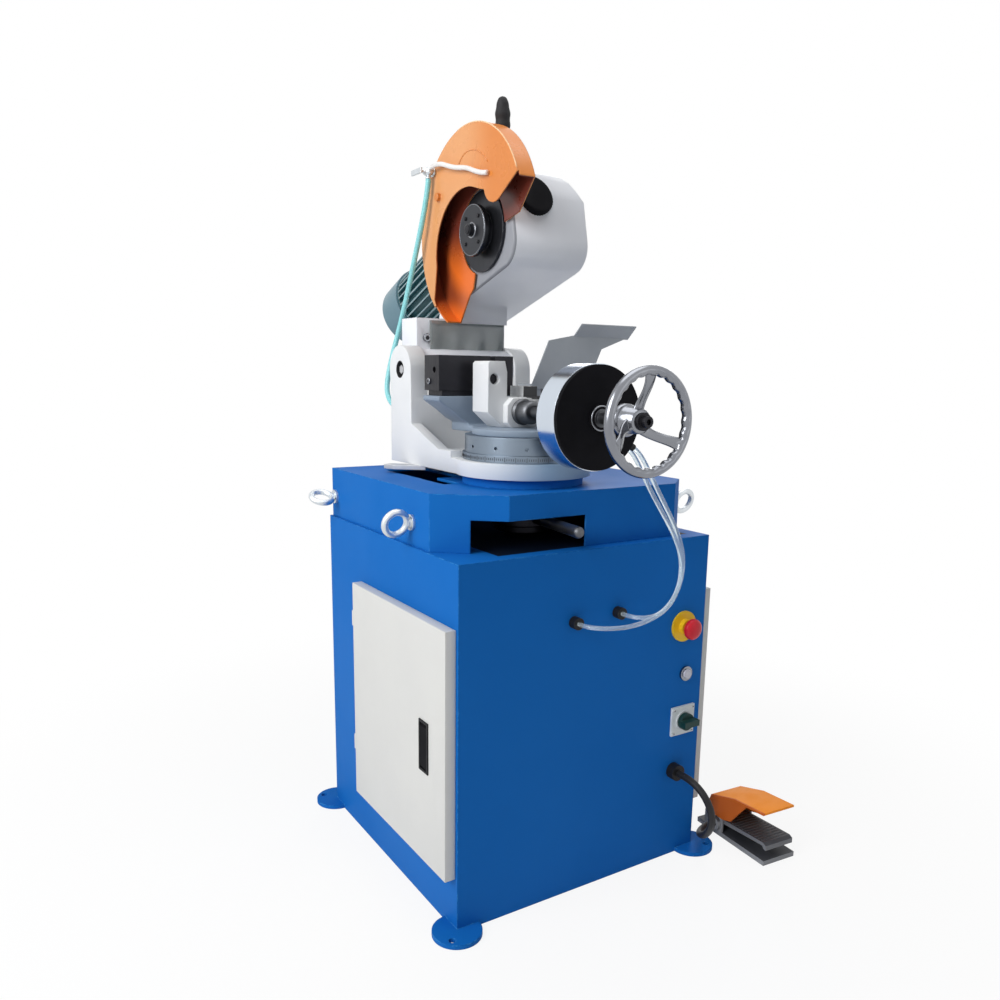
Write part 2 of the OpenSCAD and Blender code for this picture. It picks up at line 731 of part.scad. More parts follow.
module handwheel() {
    color(steel) difference() {
        union() {
            translate([vx, wheel_y, vz]) rotate([90, 0, 0]) rotate_extrude()
                translate([wheel_r, 0]) circle(rim_r);
            rod_y(hub_y0, hub_y1, vx, vz, 20);
            rod_y(hub_y1 - 20, hub_y1, vx, vz, 26);
            for (a = [85, 205, 325])
                bar([vx + 14 * cos(a), hub_y0 + 18, vz + 14 * sin(a)],
                    [vx + (wheel_r - 2) * cos(a), wheel_y + 1, vz + (wheel_r - 2) * sin(a)], 8);
        }
        rod_y(hub_y0 - 1, hub_y1 + 1, vx, vz, screw_r);
    }
}

module wheel_bolt() {
    color(black) difference() {
        union() {
            rod_y(hub_y0 - 6, hub_y0, vx, vz, 14);
            rod_y(wheel_y, hub_y0 + 4, vx, vz, 9);
        }
        translate([vx, wheel_y + 6, vz]) rotate([90, 0, 0]) cylinder(r = 5, h = 10, $fn = 6);
    }
}

module air_hose_a() {
    color([0.8, 0.88, 0.92]) tube(route(air_a, 3), air_r, 8, [0, 1, 0]);
}

module air_hose_b() {
    color([0.8, 0.88, 0.92]) tube(route(air_b, 3), air_r, 8, [0, 1, 0]);
}

// Bulkheads and cable gland on the cabinet front, elbows on the clamp cylinder
module fittings() {
    color(black) {
        for (p = [port_a, port_b]) rod_y(yf - port_l, yf, p[0], p[1], port_r);
        for (y = [drum_y0 + 14, drum_y0 + 34])
            bar([vx + (drum_r - 1) * 0.867, y, vz - (drum_r - 1) * 0.499], [vx + 92, y, vz - 53], 6);
        rod_y(yf - 18, yf, gland_x, gland_z, 16);
        rod_y(yf - 1, yf + sheet + 10, gland_x, gland_z, 8);
    }
}

// Gear casting with the hinge block between the lugs
module head_casting() {
    top_s = motor_s0;
    md = [cos(motor_tilt), -sin(motor_tilt)];
    mv = [sin(motor_tilt), cos(motor_tilt)];
    m0 = [ay, az] + centre_dist * mv;
    color(grey) difference() {
        union() {
            along_x(head_x0, head_x1)
                polygon(concat([for (p = nose) [ay, az] + p], [[py + 70, pz + 108], [py + 60, pz + 140],
                    m0 + top_s * md - 78 * mv, m0 + top_s * md + 78 * mv]));
            along_x(head_x0, block_x1)
                polygon([[py - 12, pz + 95], [py + 66, pz + 95], [py + 66, pz + 125], [py - 12, pz + 150]]);
            box(block_x0, block_x1, py - 2, py + 66, pz + 29, pz + 103);
            along_x(block_x0, block_x1) {
                translate([py, pz]) circle(boss_r);
                polygon([[py - 30, pz + 20], [py + 36, pz + 20], [py + 36, pz + 32], [py - 2, pz + 32]]);
            }
        }
        rod_x(block_x0 - 1, block_x1 + 1, py, pz, pin_r + run);
        rod_x(head_x0 - 1, head_x1 - 5, ay, az, shaft_r + run);
        rod_x(worm_x - 20, head_x1 + 1, ay, az, wheel_tip + 4);
        motor_frame() translate([0, 0, -45]) cylinder(r = worm_tip + 5, h = motor_s0 + 50);
        rod_y(py - 3, py + 12, block_x0 + 22, pz + 64, 6);
    }
}

// Bearing carrier and cover on the casting's right face
module side_cover() {
    color(grey) difference() {
        union() {
            rod_x(head_x1, head_x1 + 8, ay, az, 78);
            rod_x(worm_x + 45, head_x1, ay, az, wheel_tip + 4);
            for (a = [0 : 60 : 300]) translate([0, ay + 66 * cos(a), az + 66 * sin(a)])
                rotate([0, 90, 0]) translate([0, 0, head_x1 + 7]) cylinder(r = 6, h = 5);
        }
        rod_x(worm_x + 44, head_x1 - 10, ay, az, shaft_r + run);
    }
}

module nose_cap() {
    color(black) translate([cap_x, ay, az]) rotate([90 - cap_turn, 0, 0])
        translate([0, 18, nose_r - 18]) cylinder(r = 39.5, h = 26);
}

module spindle() {
    color(dark) {
        rod_x(tx - 20, tx - 10, ay, az, clamp_r);
        rod_x(tx - 11, tx + 4, ay, az, clamp_r - 10);
        rod_x(tx + 3, head_x0 - 1, ay, az, 75);
        rod_x(head_x0 - 2, head_x1 - 20, ay, az, shaft_r);
        rod_x(worm_x - 15, worm_x + 15, ay, az, wheel_tip);
        rod_x(tx - 30, tx - 20, ay, az, 11);
    }
}

module worm_shaft() {
    color(steel) motor_frame() {
        translate([0, 0, -40]) cylinder(r = 9, h = fan_s1 + 20);
        translate([0, 0, -30]) cylinder(r = worm_tip, h = 60);
        translate([0, 0, motor_s1 + 10]) cylinder(r = core_r - 14, h = motor_len - 20);
        translate([0, 0, motor_s3 + 20]) cylinder(r = motor_r - 16, h = 18);
    }
}

module motor() {
    color(teal) motor_frame() difference() {
        union() {
            translate([0, 0, motor_s0]) cylinder(r = motor_r, h = 12);
            translate([0, 0, motor_s1]) cylinder(r = core_r, h = motor_len);
            for (k = [0 : fin_count - 1]) rotate([0, 0, k * 360 / fin_count])
                translate([core_r - 3, -1.5, motor_s1 - 1]) cube([motor_r - core_r + 2, 3, motor_len + 2]);
            translate([0, 0, motor_s2]) cylinder(r = motor_r, h = 12);
        }
        translate([0, 0, motor_s0 - 1]) cylinder(r = 9 + run, h = motor_len + 30);
        translate([0, 0, motor_s1]) cylinder(r = core_r - 10, h = motor_len);
    }
}

module fan_cover() {
    color([0.45, 0.55, 0.6]) motor_frame() difference() {
        translate([0, 0, motor_s3 - 10]) cylinder(r = fan_r, h = fan_s1 - motor_s3 + 10);
        translate([0, 0, motor_s3]) cylinder(r = fan_r - 3, h = fan_s1 - motor_s3 - 3);
        translate([0, 0, motor_s3 - 11]) cylinder(r = motor_r, h = 12);
        for (a = [0 : 30 : 330], r = [28, 46, 62]) rotate([0, 0, a])
            translate([r, 0, fan_s1 - 5]) cylinder(r = 5, h = 10);
    }
}

module terminal_box() {
    color(teal) motor_frame() {
        translate([motor_r - 2, -40, motor_s1 + 30]) cube([43, 80, 90]);
        translate([motor_r + 20, 30, motor_s1 + 75]) rotate([-90, 0, 0]) cylinder(r = 11, h = 26);
    }
}

module guard() {
    color(orange) difference() {
        union() {
            difference() {
                rod_x(guard_x0, guard_x1, ay, az, guard_r);
                rod_x(guard_x0 + guard_t, guard_x1 - guard_t, ay, az, guard_r - guard_t);
                rod_x(guard_x0 + guard_t, guard_x1 + 1, ay, az, 80);
                along_x(guard_x0 - 1, guard_x0 + guard_t + 0.5) translate([ay, az]) polygon(guard_cut);
                along_x(guard_x0 + guard_t + 0.4, guard_x1 + 1) translate([ay, az]) polygon(rim_cut);
                along_x(guard_x0 - 1, guard_x0 + guard_t + 0.5) translate([ay, az]) circle(70);
            }
            for (a = [15, 75, 135]) rod_x(guard_x1 - 1, head_x0, ay + 89 * cos(a), az + 89 * sin(a), 7);
            rod_x(guard_x0 - 7, guard_x0 + 1, ay + 112, az + 75, 8);
        }
    }
}

module handle() {
    color(black) {
        bar([tx + 27, ay - 21, az + nose_r + 2], [tx + 27, ay - 35, az + 184], 9);
        bar([tx + 27, ay - 33, az + 165], [tx + 27, ay - 39, az + 222], 14);
        translate([tx + 27, ay - 39, az + 222]) sphere(14.8);
    }
}

module tap() {
    color(steel) difference() {
        box(guard_x0 - 24, guard_x0, ay + 122, ay + 148, az + 112, az + 140);
        rod_x(guard_x0 - 25, guard_x0 - 10, ay + 135, az + 126, 4 + run);
    }
}

module tap_lever() {
    color(steel) {
        rod_x(guard_x0 - 32, guard_x0 - 12, ay + 135, az + 126, 4);
        box(guard_x0 - 32, guard_x0 - 28, ay + 130, ay + 172, az + 121, az + 131);
    }
}

module nozzle() {
    color(white) {
        bar([guard_x0 - 12, ay + 123, az + 128], [guard_x0 - 12, ay - 60, az + 92], 4.5);
        translate([guard_x0 - 12, ay - 60, az + 92]) sphere(5.2);
        bar([guard_x0 - 12, ay - 60, az + 92], [guard_x0 - 2, ay - 79, az + 87], 4.5);
    }
}

// Barb on the column's back that the coolant hose is pushed against
module hose_barb() {
    color(steel) {
        rod_y(col_y1, col_y1 + 12, tx - 98, barb_z, 6.5);
        rod_y(col_y1, col_y1 + 4, tx - 98, barb_z, 9);
    }
}

module coolant_hose() {
    color([0.35, 0.75, 0.78]) tube(route(cool, 3), cool_r, 8, [1, 0, 0]);
}

module estop_base() {
    color(yellow) difference() {
        union() {
            rod_y(yf - 4, yf, estop_x, estop_z, estop_d / 2);
            rod_y(yf - 14, yf - 4, estop_x, estop_z, 15);
            rod_y(yf, yf + 30, estop_x, estop_z, 11);
        }
        rod_y(yf - 15, yf + 20, estop_x, estop_z, 8 + run);
    }
}

module estop_button() {
    color(red) {
        rod_y(yf - 22, yf + 10, estop_x, estop_z, 8);
        rod_y(yf - 32, yf - 21, estop_x, estop_z, 20);
        rod_y(yf - 36, yf - 31, estop_x, estop_z, 16);
    }
}

module button_bezel() {
    color(steel) difference() {
        union() {
            rod_y(yf - 5, yf, button_x, button_z, bezel_d / 2);
            rod_y(yf, yf + 30, button_x, button_z, 11);
        }
        rod_y(yf - 6, yf + 20, button_x, button_z, 9 + run);
    }
}

module push_button() {
    color(pale) rod_y(yf - 9, yf + 10, button_x, button_z, 9);
}

module switch_plate() {
    color(pale) difference() {
        union() {
            box(switch_x - switch_s / 2, switch_x + switch_s / 2, yf - 5, yf,
                switch_z - switch_s / 2, switch_z + switch_s / 2);
            rod_y(yf - 8, yf - 4, switch_x, switch_z, 20);
            rod_y(yf - 1, yf + 40, switch_x, switch_z, 8);
        }
        rod_y(yf - 9, yf + 20, switch_x, switch_z, 5 + run);
    }
}

module switch_knob() {
    color([0.05, 0.25, 0.2]) {
        rod_y(yf - 10, yf + 10, switch_x, switch_z, 5);
        rod_y(yf - 18, yf - 8 - gap, switch_x, switch_z, 17);
        box(switch_x - 19, switch_x + 19, yf - 31, yf - 17, switch_z - 6, switch_z + 6);
    }
}

// Floor plate of the foot pedal with low cheeks, a back wall and a cable gland
module pedal_base() {
    color(grey) pedal_frame() difference() {
        union() {
            box(-pw, pw, -pl, pl, 0, 10);
            for (x = [-pw, pw - 4]) box(x, x + 4, pl - 75, pl - 22, 9, 40);
            box(-pw, pw, pl - 26, pl - 22, 9, 40);
            rod_x(-pw - 8, -pw + 1, pl - 58, 26, 14);
        }
        rod_x(-pw + 0.4, pw - 0.4, ped_piv[0], ped_piv[1], 4 + run);
    }
}

// Hood over the pedal
module pedal_hood() {
    color(orange) pedal_frame() {
        for (x = [-pw, pw - 4]) along_x(x, x + 4)
            polygon([[pl - 75, 40], [pl - 97, 46], [pl - 138, 98], [pl - 104, 100], [pl - 37, 80],
                [pl - 22, 40]]);
        along_x(-pw, pw) polygon([[-pl + 9, 107], [pl - 104, 100], [pl - 37, 80], [pl - 22, 40],
            [pl - 26, 40], [pl - 40, 76.5], [pl - 104, 95.5], [-pl + 9, 102.5]]);
    }
}

module pedal_plate() {
    color(dark) pedal_frame() {
        rod_x(-pw + 0.6, pw - 0.6, ped_piv[0], ped_piv[1], 4);
        along_x(-pw + 5, pw - 5) polygon([[ped_piv[0], 26], [ped_piv[0] + 4, 32], [ped_piv[0] - 4, 36],
            [-pl + 10, 44], [-pl + 2, 40], [-pl + 2, 30], [-pl + 8, 32], [-pl + 12, 37]]);
    }
}

module conduit() {
    color(black) tube(route(cond, 2), cond_r, 12, [0, 0, 1]);
}

cabinet();
left_door();
left_latch();
left_paddle();
right_door();
right_latch();
right_paddle();
tray();
lifting_eyes();
coolant_tank();
coolant_pump();
electric_panel();
pedestal();
post();
lock_lever();
scale_band();
table_disc();
swivel_arm();
pivot_pin();
stop_tongue();
splash_sheet();
vise_bed();
jaw_shoe();
fixed_jaw();
moving_jaw();
jaw_nut();
vise_bracket();
drum();
drum_cap();
vise_screw();
handwheel();
wheel_bolt();
air_hose_a();
air_hose_b();
fittings();
head_casting();
side_cover();
nose_cap();
spindle();
worm_shaft();
motor();
fan_cover();
terminal_box();
guard();
handle();
tap();
tap_lever();
nozzle();
hose_barb();
coolant_hose();
estop_base();
estop_button();
button_bezel();
push_button();
switch_plate();
switch_knob();
pedal_base();
pedal_hood();
pedal_plate();
conduit();
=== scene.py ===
"""Looks of a metal cold saw: finishes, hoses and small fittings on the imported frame."""
import math

import bmesh
import bpy
from mathutils import Matrix, Vector


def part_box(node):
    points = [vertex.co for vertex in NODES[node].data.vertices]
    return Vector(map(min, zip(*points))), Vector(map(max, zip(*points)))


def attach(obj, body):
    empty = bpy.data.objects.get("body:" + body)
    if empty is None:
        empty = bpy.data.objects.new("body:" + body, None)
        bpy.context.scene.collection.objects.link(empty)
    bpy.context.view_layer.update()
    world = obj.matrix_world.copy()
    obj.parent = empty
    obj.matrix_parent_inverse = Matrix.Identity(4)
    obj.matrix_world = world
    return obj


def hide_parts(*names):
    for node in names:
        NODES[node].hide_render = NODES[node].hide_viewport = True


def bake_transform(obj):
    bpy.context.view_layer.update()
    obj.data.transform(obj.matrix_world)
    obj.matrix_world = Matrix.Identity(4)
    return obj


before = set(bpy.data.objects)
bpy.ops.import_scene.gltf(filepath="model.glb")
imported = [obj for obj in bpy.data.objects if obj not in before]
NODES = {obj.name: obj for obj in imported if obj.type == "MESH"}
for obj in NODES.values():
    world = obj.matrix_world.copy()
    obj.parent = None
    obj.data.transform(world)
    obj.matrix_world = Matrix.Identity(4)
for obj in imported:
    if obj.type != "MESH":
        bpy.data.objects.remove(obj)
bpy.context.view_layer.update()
MM = 0.001
LEFT, RIGHT = Vector((-1, 0, 0)), Vector((1, 0, 0))
FRONT, BACK = Vector((0, -1, 0)), Vector((0, 1, 0))
DOWN, UP = Vector((0, 0, -1)), Vector((0, 0, 1))


def mm(x, y, z):
    """A point written in millimetres, as metres."""
    return Vector((x, y, z)) * MM


def middle(node):
    """Centre of a CAD node's box."""
    low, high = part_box(node)
    return (low + high) / 2


def full_turn(count):
    """Equal steps round a circle, as angles."""
    return [2 * math.pi * k / count for k in range(count)]


# Places on the machine, read from the frame
SPINDLE_Y, SPINDLE_Z = middle("spindle").y, middle("spindle").z
ARBOR_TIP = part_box("spindle")[0].x
CASE_END = ARBOR_TIP + 40 * MM
GUARD_STUD = 7 * MM
GUARD_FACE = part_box("guard")[0].x + GUARD_STUD
SCREW_X, SCREW_Z = middle("vise_screw").x, middle("vise_screw").z
TABLE_X, TABLE_Y = middle("scale_band").x, middle("scale_band").y
MOTOR_POINT = middle("fan_cover")
MOTOR_TILT = math.radians(22)
ALONG_MOTOR = Vector((0, math.cos(MOTOR_TILT), -math.sin(MOTOR_TILT)))
ACROSS_MOTOR = Vector((0, math.sin(MOTOR_TILT), math.cos(MOTOR_TILT)))
PEDAL_AT, PEDAL_TURN = mm(392, -312, 0), math.radians(-4.4)


# Camera, at the photograph's point of view
CAMERA_AT = mm(-928.6, -1429.1, 951.0)
CAMERA_AZIMUTH = math.radians(-32.32)
CAMERA_RISE = math.radians(11.07)
CAMERA_ROLL = math.radians(0.78)
CAMERA_LENS, CAMERA_SENSOR = 30.97, 36
CAMERA_SHIFT = 0.04
CAMERA_NEAR, CAMERA_FAR = 0.05, 60


def place_camera():
    """The scene's camera, turned by its azimuth, rise and roll."""
    back = Vector((math.sin(CAMERA_AZIMUTH) * math.cos(CAMERA_RISE),
                   -math.cos(CAMERA_AZIMUTH) * math.cos(CAMERA_RISE), math.sin(CAMERA_RISE)))
    level = (-back).cross(UP).normalized()
    upright = level.cross(-back)
    right = math.cos(CAMERA_ROLL) * level + math.sin(CAMERA_ROLL) * upright
    up = math.cos(CAMERA_ROLL) * upright - math.sin(CAMERA_ROLL) * level
    data = bpy.data.cameras.new("photo_camera")
    data.sensor_width = CAMERA_SENSOR
    data.lens = CAMERA_LENS
    data.shift_y = CAMERA_SHIFT
    data.clip_start, data.clip_end = CAMERA_NEAR, CAMERA_FAR
    camera = bpy.data.objects.new("photo_camera", data)
    bpy.context.scene.collection.objects.link(camera)
    axes = Matrix((right, up, back)).transposed().to_4x4()
    camera.matrix_world = Matrix.Translation(CAMERA_AT) @ axes
    bpy.context.scene.camera = camera


place_camera()
bpy.context.scene.view_settings.view_transform = "Standard"


# Node trees

def feed(tree, socket, value):
    """Links a socket to an input, or sets a plain value there."""
    if isinstance(value, bpy.types.NodeSocket):
        tree.links.new(value, socket)
    else:
        socket.default_value = value


def feed_all(tree, sockets, values):
    """Feeds values to sockets in order."""
    for socket, value in zip(sockets, values):
        feed(tree, socket, value)


def wire(tree, node, **inputs):
    """Feeds a node's inputs by name, where an underscore stands for a space."""
    for name, value in inputs.items():
        label = name.replace("_", " ")
        feed(tree, next(s for s in node.inputs if s.name == label and s.enabled), value)
    return node


def add(tree, kind, **inputs):
    """A new node with its inputs."""
    return wire(tree, tree.nodes.new(kind), **inputs)


def math_node(tree, operation, *values, clamp=False):
    """Result of a sum, product or comparison of numbers."""
    made = tree.nodes.new("ShaderNodeMath")
    made.operation, made.use_clamp = operation, clamp
    feed_all(tree, made.inputs, values)
    return made.outputs[0]


def vector_node(tree, operation, *values):
    """Result of vector maths: a number for a dot product or a length, otherwise a vector."""
    made = tree.nodes.new("ShaderNodeVectorMath")
    made.operation = operation
    feed_all(tree, made.inputs, values)
    return made.outputs["Value" if operation in ("DOT_PRODUCT", "LENGTH") else "Vector"]


def mix_colour(tree, amount, first, second):
    """The first colour at 0 and the second one at 1."""
    made = tree.nodes.new("ShaderNodeMix")
    made.data_type = "RGBA"
    feed_all(tree, (made.inputs[0], made.inputs[6], made.inputs[7]), (amount, first, second))
    return made.outputs[2]


def smooth_step(tree, value, low, high, start=0.0, end=1.0):
    """A soft change from start to end while the value goes from low to high."""
    made = add(tree, "ShaderNodeMapRange", Value=value, From_Min=low, From_Max=high, To_Min=start, To_Max=end)
    made.interpolation_type = "SMOOTHSTEP"
    return made.outputs[0]


def place(tree):
    """The shaded point in the part's own frame."""
    return tree.nodes.new("ShaderNodeTexCoord").outputs["Object"]


def coordinate(tree, axis):
    """One coordinate of the shaded point."""
    return add(tree, "ShaderNodeSeparateXYZ", Vector=place(tree)).outputs[axis]


def noise(tree, where, scale, detail, roughness=0.5):
    """Cloudy values between 0 and 1."""
    made = add(tree, "ShaderNodeTexNoise", Vector=where, Scale=scale, Detail=detail, Roughness=roughness)
    return made.outputs[0]


def new_group(name, inputs, outputs):
    """An empty shader node group with named sockets: (name, kind, default)."""
    group = bpy.data.node_groups.new(name, "ShaderNodeTree")
    for label, kind, value in inputs:
        socket = group.interface.new_socket(label, in_out="INPUT", socket_type="NodeSocket" + kind)
        socket.default_value = value
    for label, kind in outputs:
        group.interface.new_socket(label, in_out="OUTPUT", socket_type="NodeSocket" + kind)
    return group, group.nodes.new("NodeGroupInput"), group.nodes.new("NodeGroupOutput")


def use_group(tree, group, **inputs):
    """A group in a tree, with its inputs by name."""
    made = tree.nodes.new("ShaderNodeGroup")
    made.node_tree = group
    return wire(tree, made, **inputs)


def patchy_coat_group():
    """Slow shade changes of a sprayed coat."""
    group, given, result = new_group(
        "patchy_coat",
        [("Colour", "Color", (0.5, 0.5, 0.5, 1)), ("Shade", "Color", (0.4, 0.4, 0.4, 1)),
         ("Patch Size", "Float", 6.0), ("Patch Amount", "Float", 0.5)],
        [("Colour", "Color"), ("Patches", "Float")])
    broad = noise(group, place(group), given.outputs["Patch Size"], 5.0, 0.55)
    patches = smooth_step(group, broad, 0.35, 0.7)
    amount = math_node(group, "MULTIPLY", patches, given.outputs["Patch Amount"])
    tinted = mix_colour(group, amount, given.outputs["Colour"], given.outputs["Shade"])
    wire(group, result, Colour=tinted, Patches=patches)
    return group


def edge_sheen_and_wear_group():
    """Mask that is 1 on paler edges, for worn paint and for painted highlights: a rounded normal that leaves
    the flat one marks an edge.
    """
    group, given, result = new_group(
        "edge_sheen_and_wear", [("Reach", "Float", 0.0015), ("Breakup", "Float", 60.0)],
        [("Edge", "Float"), ("Round Normal", "Vector")])
    bevel = add(group, "ShaderNodeBevel", Radius=given.outputs["Reach"])
    bevel.samples = 4
    rounded = bevel.outputs[0]
    flat = group.nodes.new("ShaderNodeNewGeometry").outputs["Normal"]
    alike = vector_node(group, "DOT_PRODUCT", rounded, flat)
    turned_away = math_node(group, "SUBTRACT", 1.0, alike, clamp=True)
    broken = noise(group, place(group), given.outputs["Breakup"], 4.0, 0.7)
    edge_mask = math_node(group, "MULTIPLY", smooth_step(group, turned_away, 0.02, 0.16),
                      smooth_step(group, broken, 0.46, 0.62))
    wire(group, result, Edge=edge_mask, Round_Normal=rounded)
    return group


def fine_marks_group():
    """Fine straight marks along one direction, and slow clouding."""
    group, given, result = new_group(
        "fine_marks", [("Across", "Vector", (1, 1, 1)), ("Amount", "Float", 0.5)],
        [("Marks", "Float"), ("Cloud", "Float")])
    stretched = vector_node(group, "MULTIPLY", place(group), given.outputs["Across"])
    lines = noise(group, stretched, 1.0, 3.0, 0.6)
    marks = math_node(group, "MULTIPLY", smooth_step(group, lines, 0.35, 0.7), given.outputs["Amount"])
    wire(group, result, Marks=marks, Cloud=noise(group, place(group), 14.0, 4.0))
    return group


def from_axis_group():
    """Distance of a point from an axis, for rings and fin tips."""
    group, given, result = new_group(
        "from_axis", [("Point", "Vector", (0, 0, 0)), ("Axis", "Vector", (0, 0, 1))],
        [("Distance", "Float")])
    away = vector_node(group, "SUBTRACT", place(group), given.outputs["Point"])
    square = vector_node(group, "CROSS_PRODUCT", away, given.outputs["Axis"])
    wire(group, result, Distance=vector_node(group, "LENGTH", square))
    return group


def inside_box_group():
    """1 inside a box that is given by its centre and half size, 0 outside."""
    group, given, result = new_group(
        "inside_box", [("Centre", "Vector", (0, 0, 0)), ("Half Size", "Vector", (1, 1, 1))],
        [("Inside", "Float")])
    away = vector_node(group, "SUBTRACT", place(group), given.outputs["Centre"])
    share = vector_node(group, "DIVIDE", away, given.outputs["Half Size"])
    parts = add(group, "ShaderNodeSeparateXYZ", Vector=vector_node(group, "ABSOLUTE", share)).outputs
    most = math_node(group, "MAXIMUM", math_node(group, "MAXIMUM", parts[0], parts[1]), parts[2])
    wire(group, result, Inside=smooth_step(group, most, 0.99, 1.0, 1.0, 0.0))
    return group


PATCHY_COAT = patchy_coat_group()
FROM_AXIS = from_axis_group()
INSIDE_BOX = inside_box_group()
EDGE_SHEEN_AND_WEAR = edge_sheen_and_wear_group()
FINE_MARKS = fine_marks_group()


def new_material(name):
    """An empty material with a Principled shader."""
    material = bpy.data.materials.new(name)
    material.use_nodes = True
    tree = material.node_tree
    tree.nodes.clear()
    shader = tree.nodes.new("ShaderNodeBsdfPrincipled")
    output = tree.nodes.new("ShaderNodeOutputMaterial")
    tree.links.new(shader.outputs[0], output.inputs[0])
    return material, tree, shader


def rgba(colour):
    """A colour with full cover."""
    return (*colour, 1.0)


def lighter(colour, gain):
    """A paler tone of a colour, for worn edges and painted edge highlights."""
    return tuple(min(1.0, gain * c + 0.12) for c in colour)


def patchy_coat(tree, colour, shade, patch, amount):
    """Colour of a coat, and the mask of its patches."""
    made = use_group(tree, PATCHY_COAT, Colour=rgba(colour), Shade=rgba(shade), Patch_Size=patch,
                     Patch_Amount=amount)
    return made.outputs["Colour"], made.outputs["Patches"]


def edges_worn_and_lit(tree, tone, reach, bare, amount):
    """Another colour on the edges, and the normal that rounds them."""
    worn = use_group(tree, EDGE_SHEEN_AND_WEAR, Reach=reach)
    share = math_node(tree, "MULTIPLY", worn.outputs["Edge"], amount)
    return mix_colour(tree, share, tone, rgba(bare)), worn.outputs["Round Normal"]


def relief(tree, strength, depth, height, normal):
    """Normal of a fine raised texture on top of the rounded edges."""
    bump = add(tree, "ShaderNodeBump", Strength=strength, Distance=depth, Height=height, Normal=normal)
    return bump.outputs[0]


COAT_ROUGHNESS = 0.12
PEEL_DEPTH, MARK_DEPTH = 0.0006, 0.0004
MOULD_EDGE, MOULD_WEAR = 0.0012, 0.3
MOULD_PATCH, MOULD_PATCH_AMOUNT = 20.0, 0.5
CLEAR_IOR = 1.45


def painted(name, colour, shade, gloss=0.35, patch=5.0, patch_amount=0.4, peel=0.06, peel_size=260.0,
            edge=0.0015, bare=(0.30, 0.30, 0.31), wear=0.25, coat=0.0, spec=0.3):
    """Sprayed or powder coated metal: patchy shade, orange-peel skin and paler edges, worn on some finishes
    and a painted highlight on others.
    """
    material, tree, shader = new_material(name)
    tone, patches = patchy_coat(tree, colour, shade, patch, patch_amount)
    tone, rounded = edges_worn_and_lit(tree, tone, edge, bare, wear)
    spread = math_node(tree, "MULTIPLY_ADD", patches, 0.12, gloss, clamp=True)
    skin = noise(tree, place(tree), peel_size, 2.0)
    wire(tree, shader, Base_Color=tone, Roughness=spread, Coat_Weight=coat, Coat_Roughness=COAT_ROUGHNESS,
         Specular_IOR_Level=spec, Normal=relief(tree, peel, PEEL_DEPTH, skin, rounded))
    return material


def bare_metal(name, colour, shade, rough=0.3, across=(40, 600, 40), marks=0.4, edge=0.0012, bump=0.08,
               metallic=1.0, wear=0.3):
    """Machined, plated or blackened metal with fine marks, clouding and bright edges."""
    material, tree, shader = new_material(name)
    texture = use_group(tree, FINE_MARKS, Across=across, Amount=marks)
    lines, cloud = texture.outputs["Marks"], texture.outputs["Cloud"]
    tone = mix_colour(tree, cloud, rgba(colour), rgba(shade))
    tone, rounded = edges_worn_and_lit(tree, tone, edge, lighter(colour, 1.25), wear)
    spread = math_node(tree, "MULTIPLY_ADD", lines, 0.25, rough)
    spread = math_node(tree, "MULTIPLY_ADD", cloud, 0.1, spread, clamp=True)
    wire(tree, shader, Base_Color=tone, Roughness=spread, Metallic=metallic,
         Normal=relief(tree, bump, MARK_DEPTH, lines, rounded))
    return material


def moulded(name, colour, shade, rough=0.45, grain=0.15, grain_size=900.0, spec=0.3):
    """Moulded plastic or rubber with a fine spark-eroded grain."""
    material, tree, shader = new_material(name)
    tone, patches = patchy_coat(tree, colour, shade, MOULD_PATCH, MOULD_PATCH_AMOUNT)
    tone, rounded = edges_worn_and_lit(tree, tone, MOULD_EDGE, lighter(colour, 0.75), MOULD_WEAR)
    spread = math_node(tree, "MULTIPLY_ADD", patches, 0.1, rough, clamp=True)
    pits = noise(tree, place(tree), grain_size, 2.0)
    wire(tree, shader, Base_Color=tone, Roughness=spread, Specular_IOR_Level=spec,
         Normal=relief(tree, grain, MARK_DEPTH, pits, rounded))
    return material


def clear_tube(name, colour, shade, see_through, rough=0.12, patch=45.0, patch_amount=0.6):
    """Translucent hose or sheet: tinted, a little cloudy, with faint haze along it."""
    material, tree, shader = new_material(name)
    tone, patches = patchy_coat(tree, colour, shade, patch, patch_amount)
    spread = math_node(tree, "MULTIPLY_ADD", patches, 0.15, rough, clamp=True)
    wire(tree, shader, Base_Color=tone, Roughness=spread, Transmission_Weight=see_through, IOR=CLEAR_IOR)
    return material


def tint_base(material, mask_of, colour):
    """Mixes a second colour into a finished material where a mask says so."""
    tree = material.node_tree
    shader = next(n for n in tree.nodes if n.type == "BSDF_PRINCIPLED")
    old = shader.inputs["Base Color"].links[0].from_socket
    tree.links.new(mix_colour(tree, mask_of(tree), old, rgba(colour)), shader.inputs["Base Color"])


# Finishes
# Cabinet blue: its pale blue edges are a painted highlight.
CABINET_BLUE = painted("cabinet_blue", (0.007, 0.138, 0.485), (0.006, 0.122, 0.445), gloss=0.5, patch=3,
                       spec=0.06, edge=0.003, bare=(0.08, 0.36, 0.75), wear=0.8)
DOOR_COAT = painted("door_coat", (0.65, 0.65, 0.63), (0.61, 0.61, 0.60), gloss=0.48, peel=0.12,
                    bare=(0.5, 0.5, 0.5))
COLUMN_WHITE = painted("column_white", (0.78, 0.79, 0.80), (0.71, 0.73, 0.75), gloss=0.34, patch=9,
                       peel=0.1, peel_size=150, bare=(0.36, 0.36, 0.36), wear=0.35)
GEAR_CASE_GREY = painted("gear_case_grey", (0.83, 0.85, 0.90), (0.76, 0.78, 0.83), gloss=0.32, patch=7,
                         peel=0.08, peel_size=180)
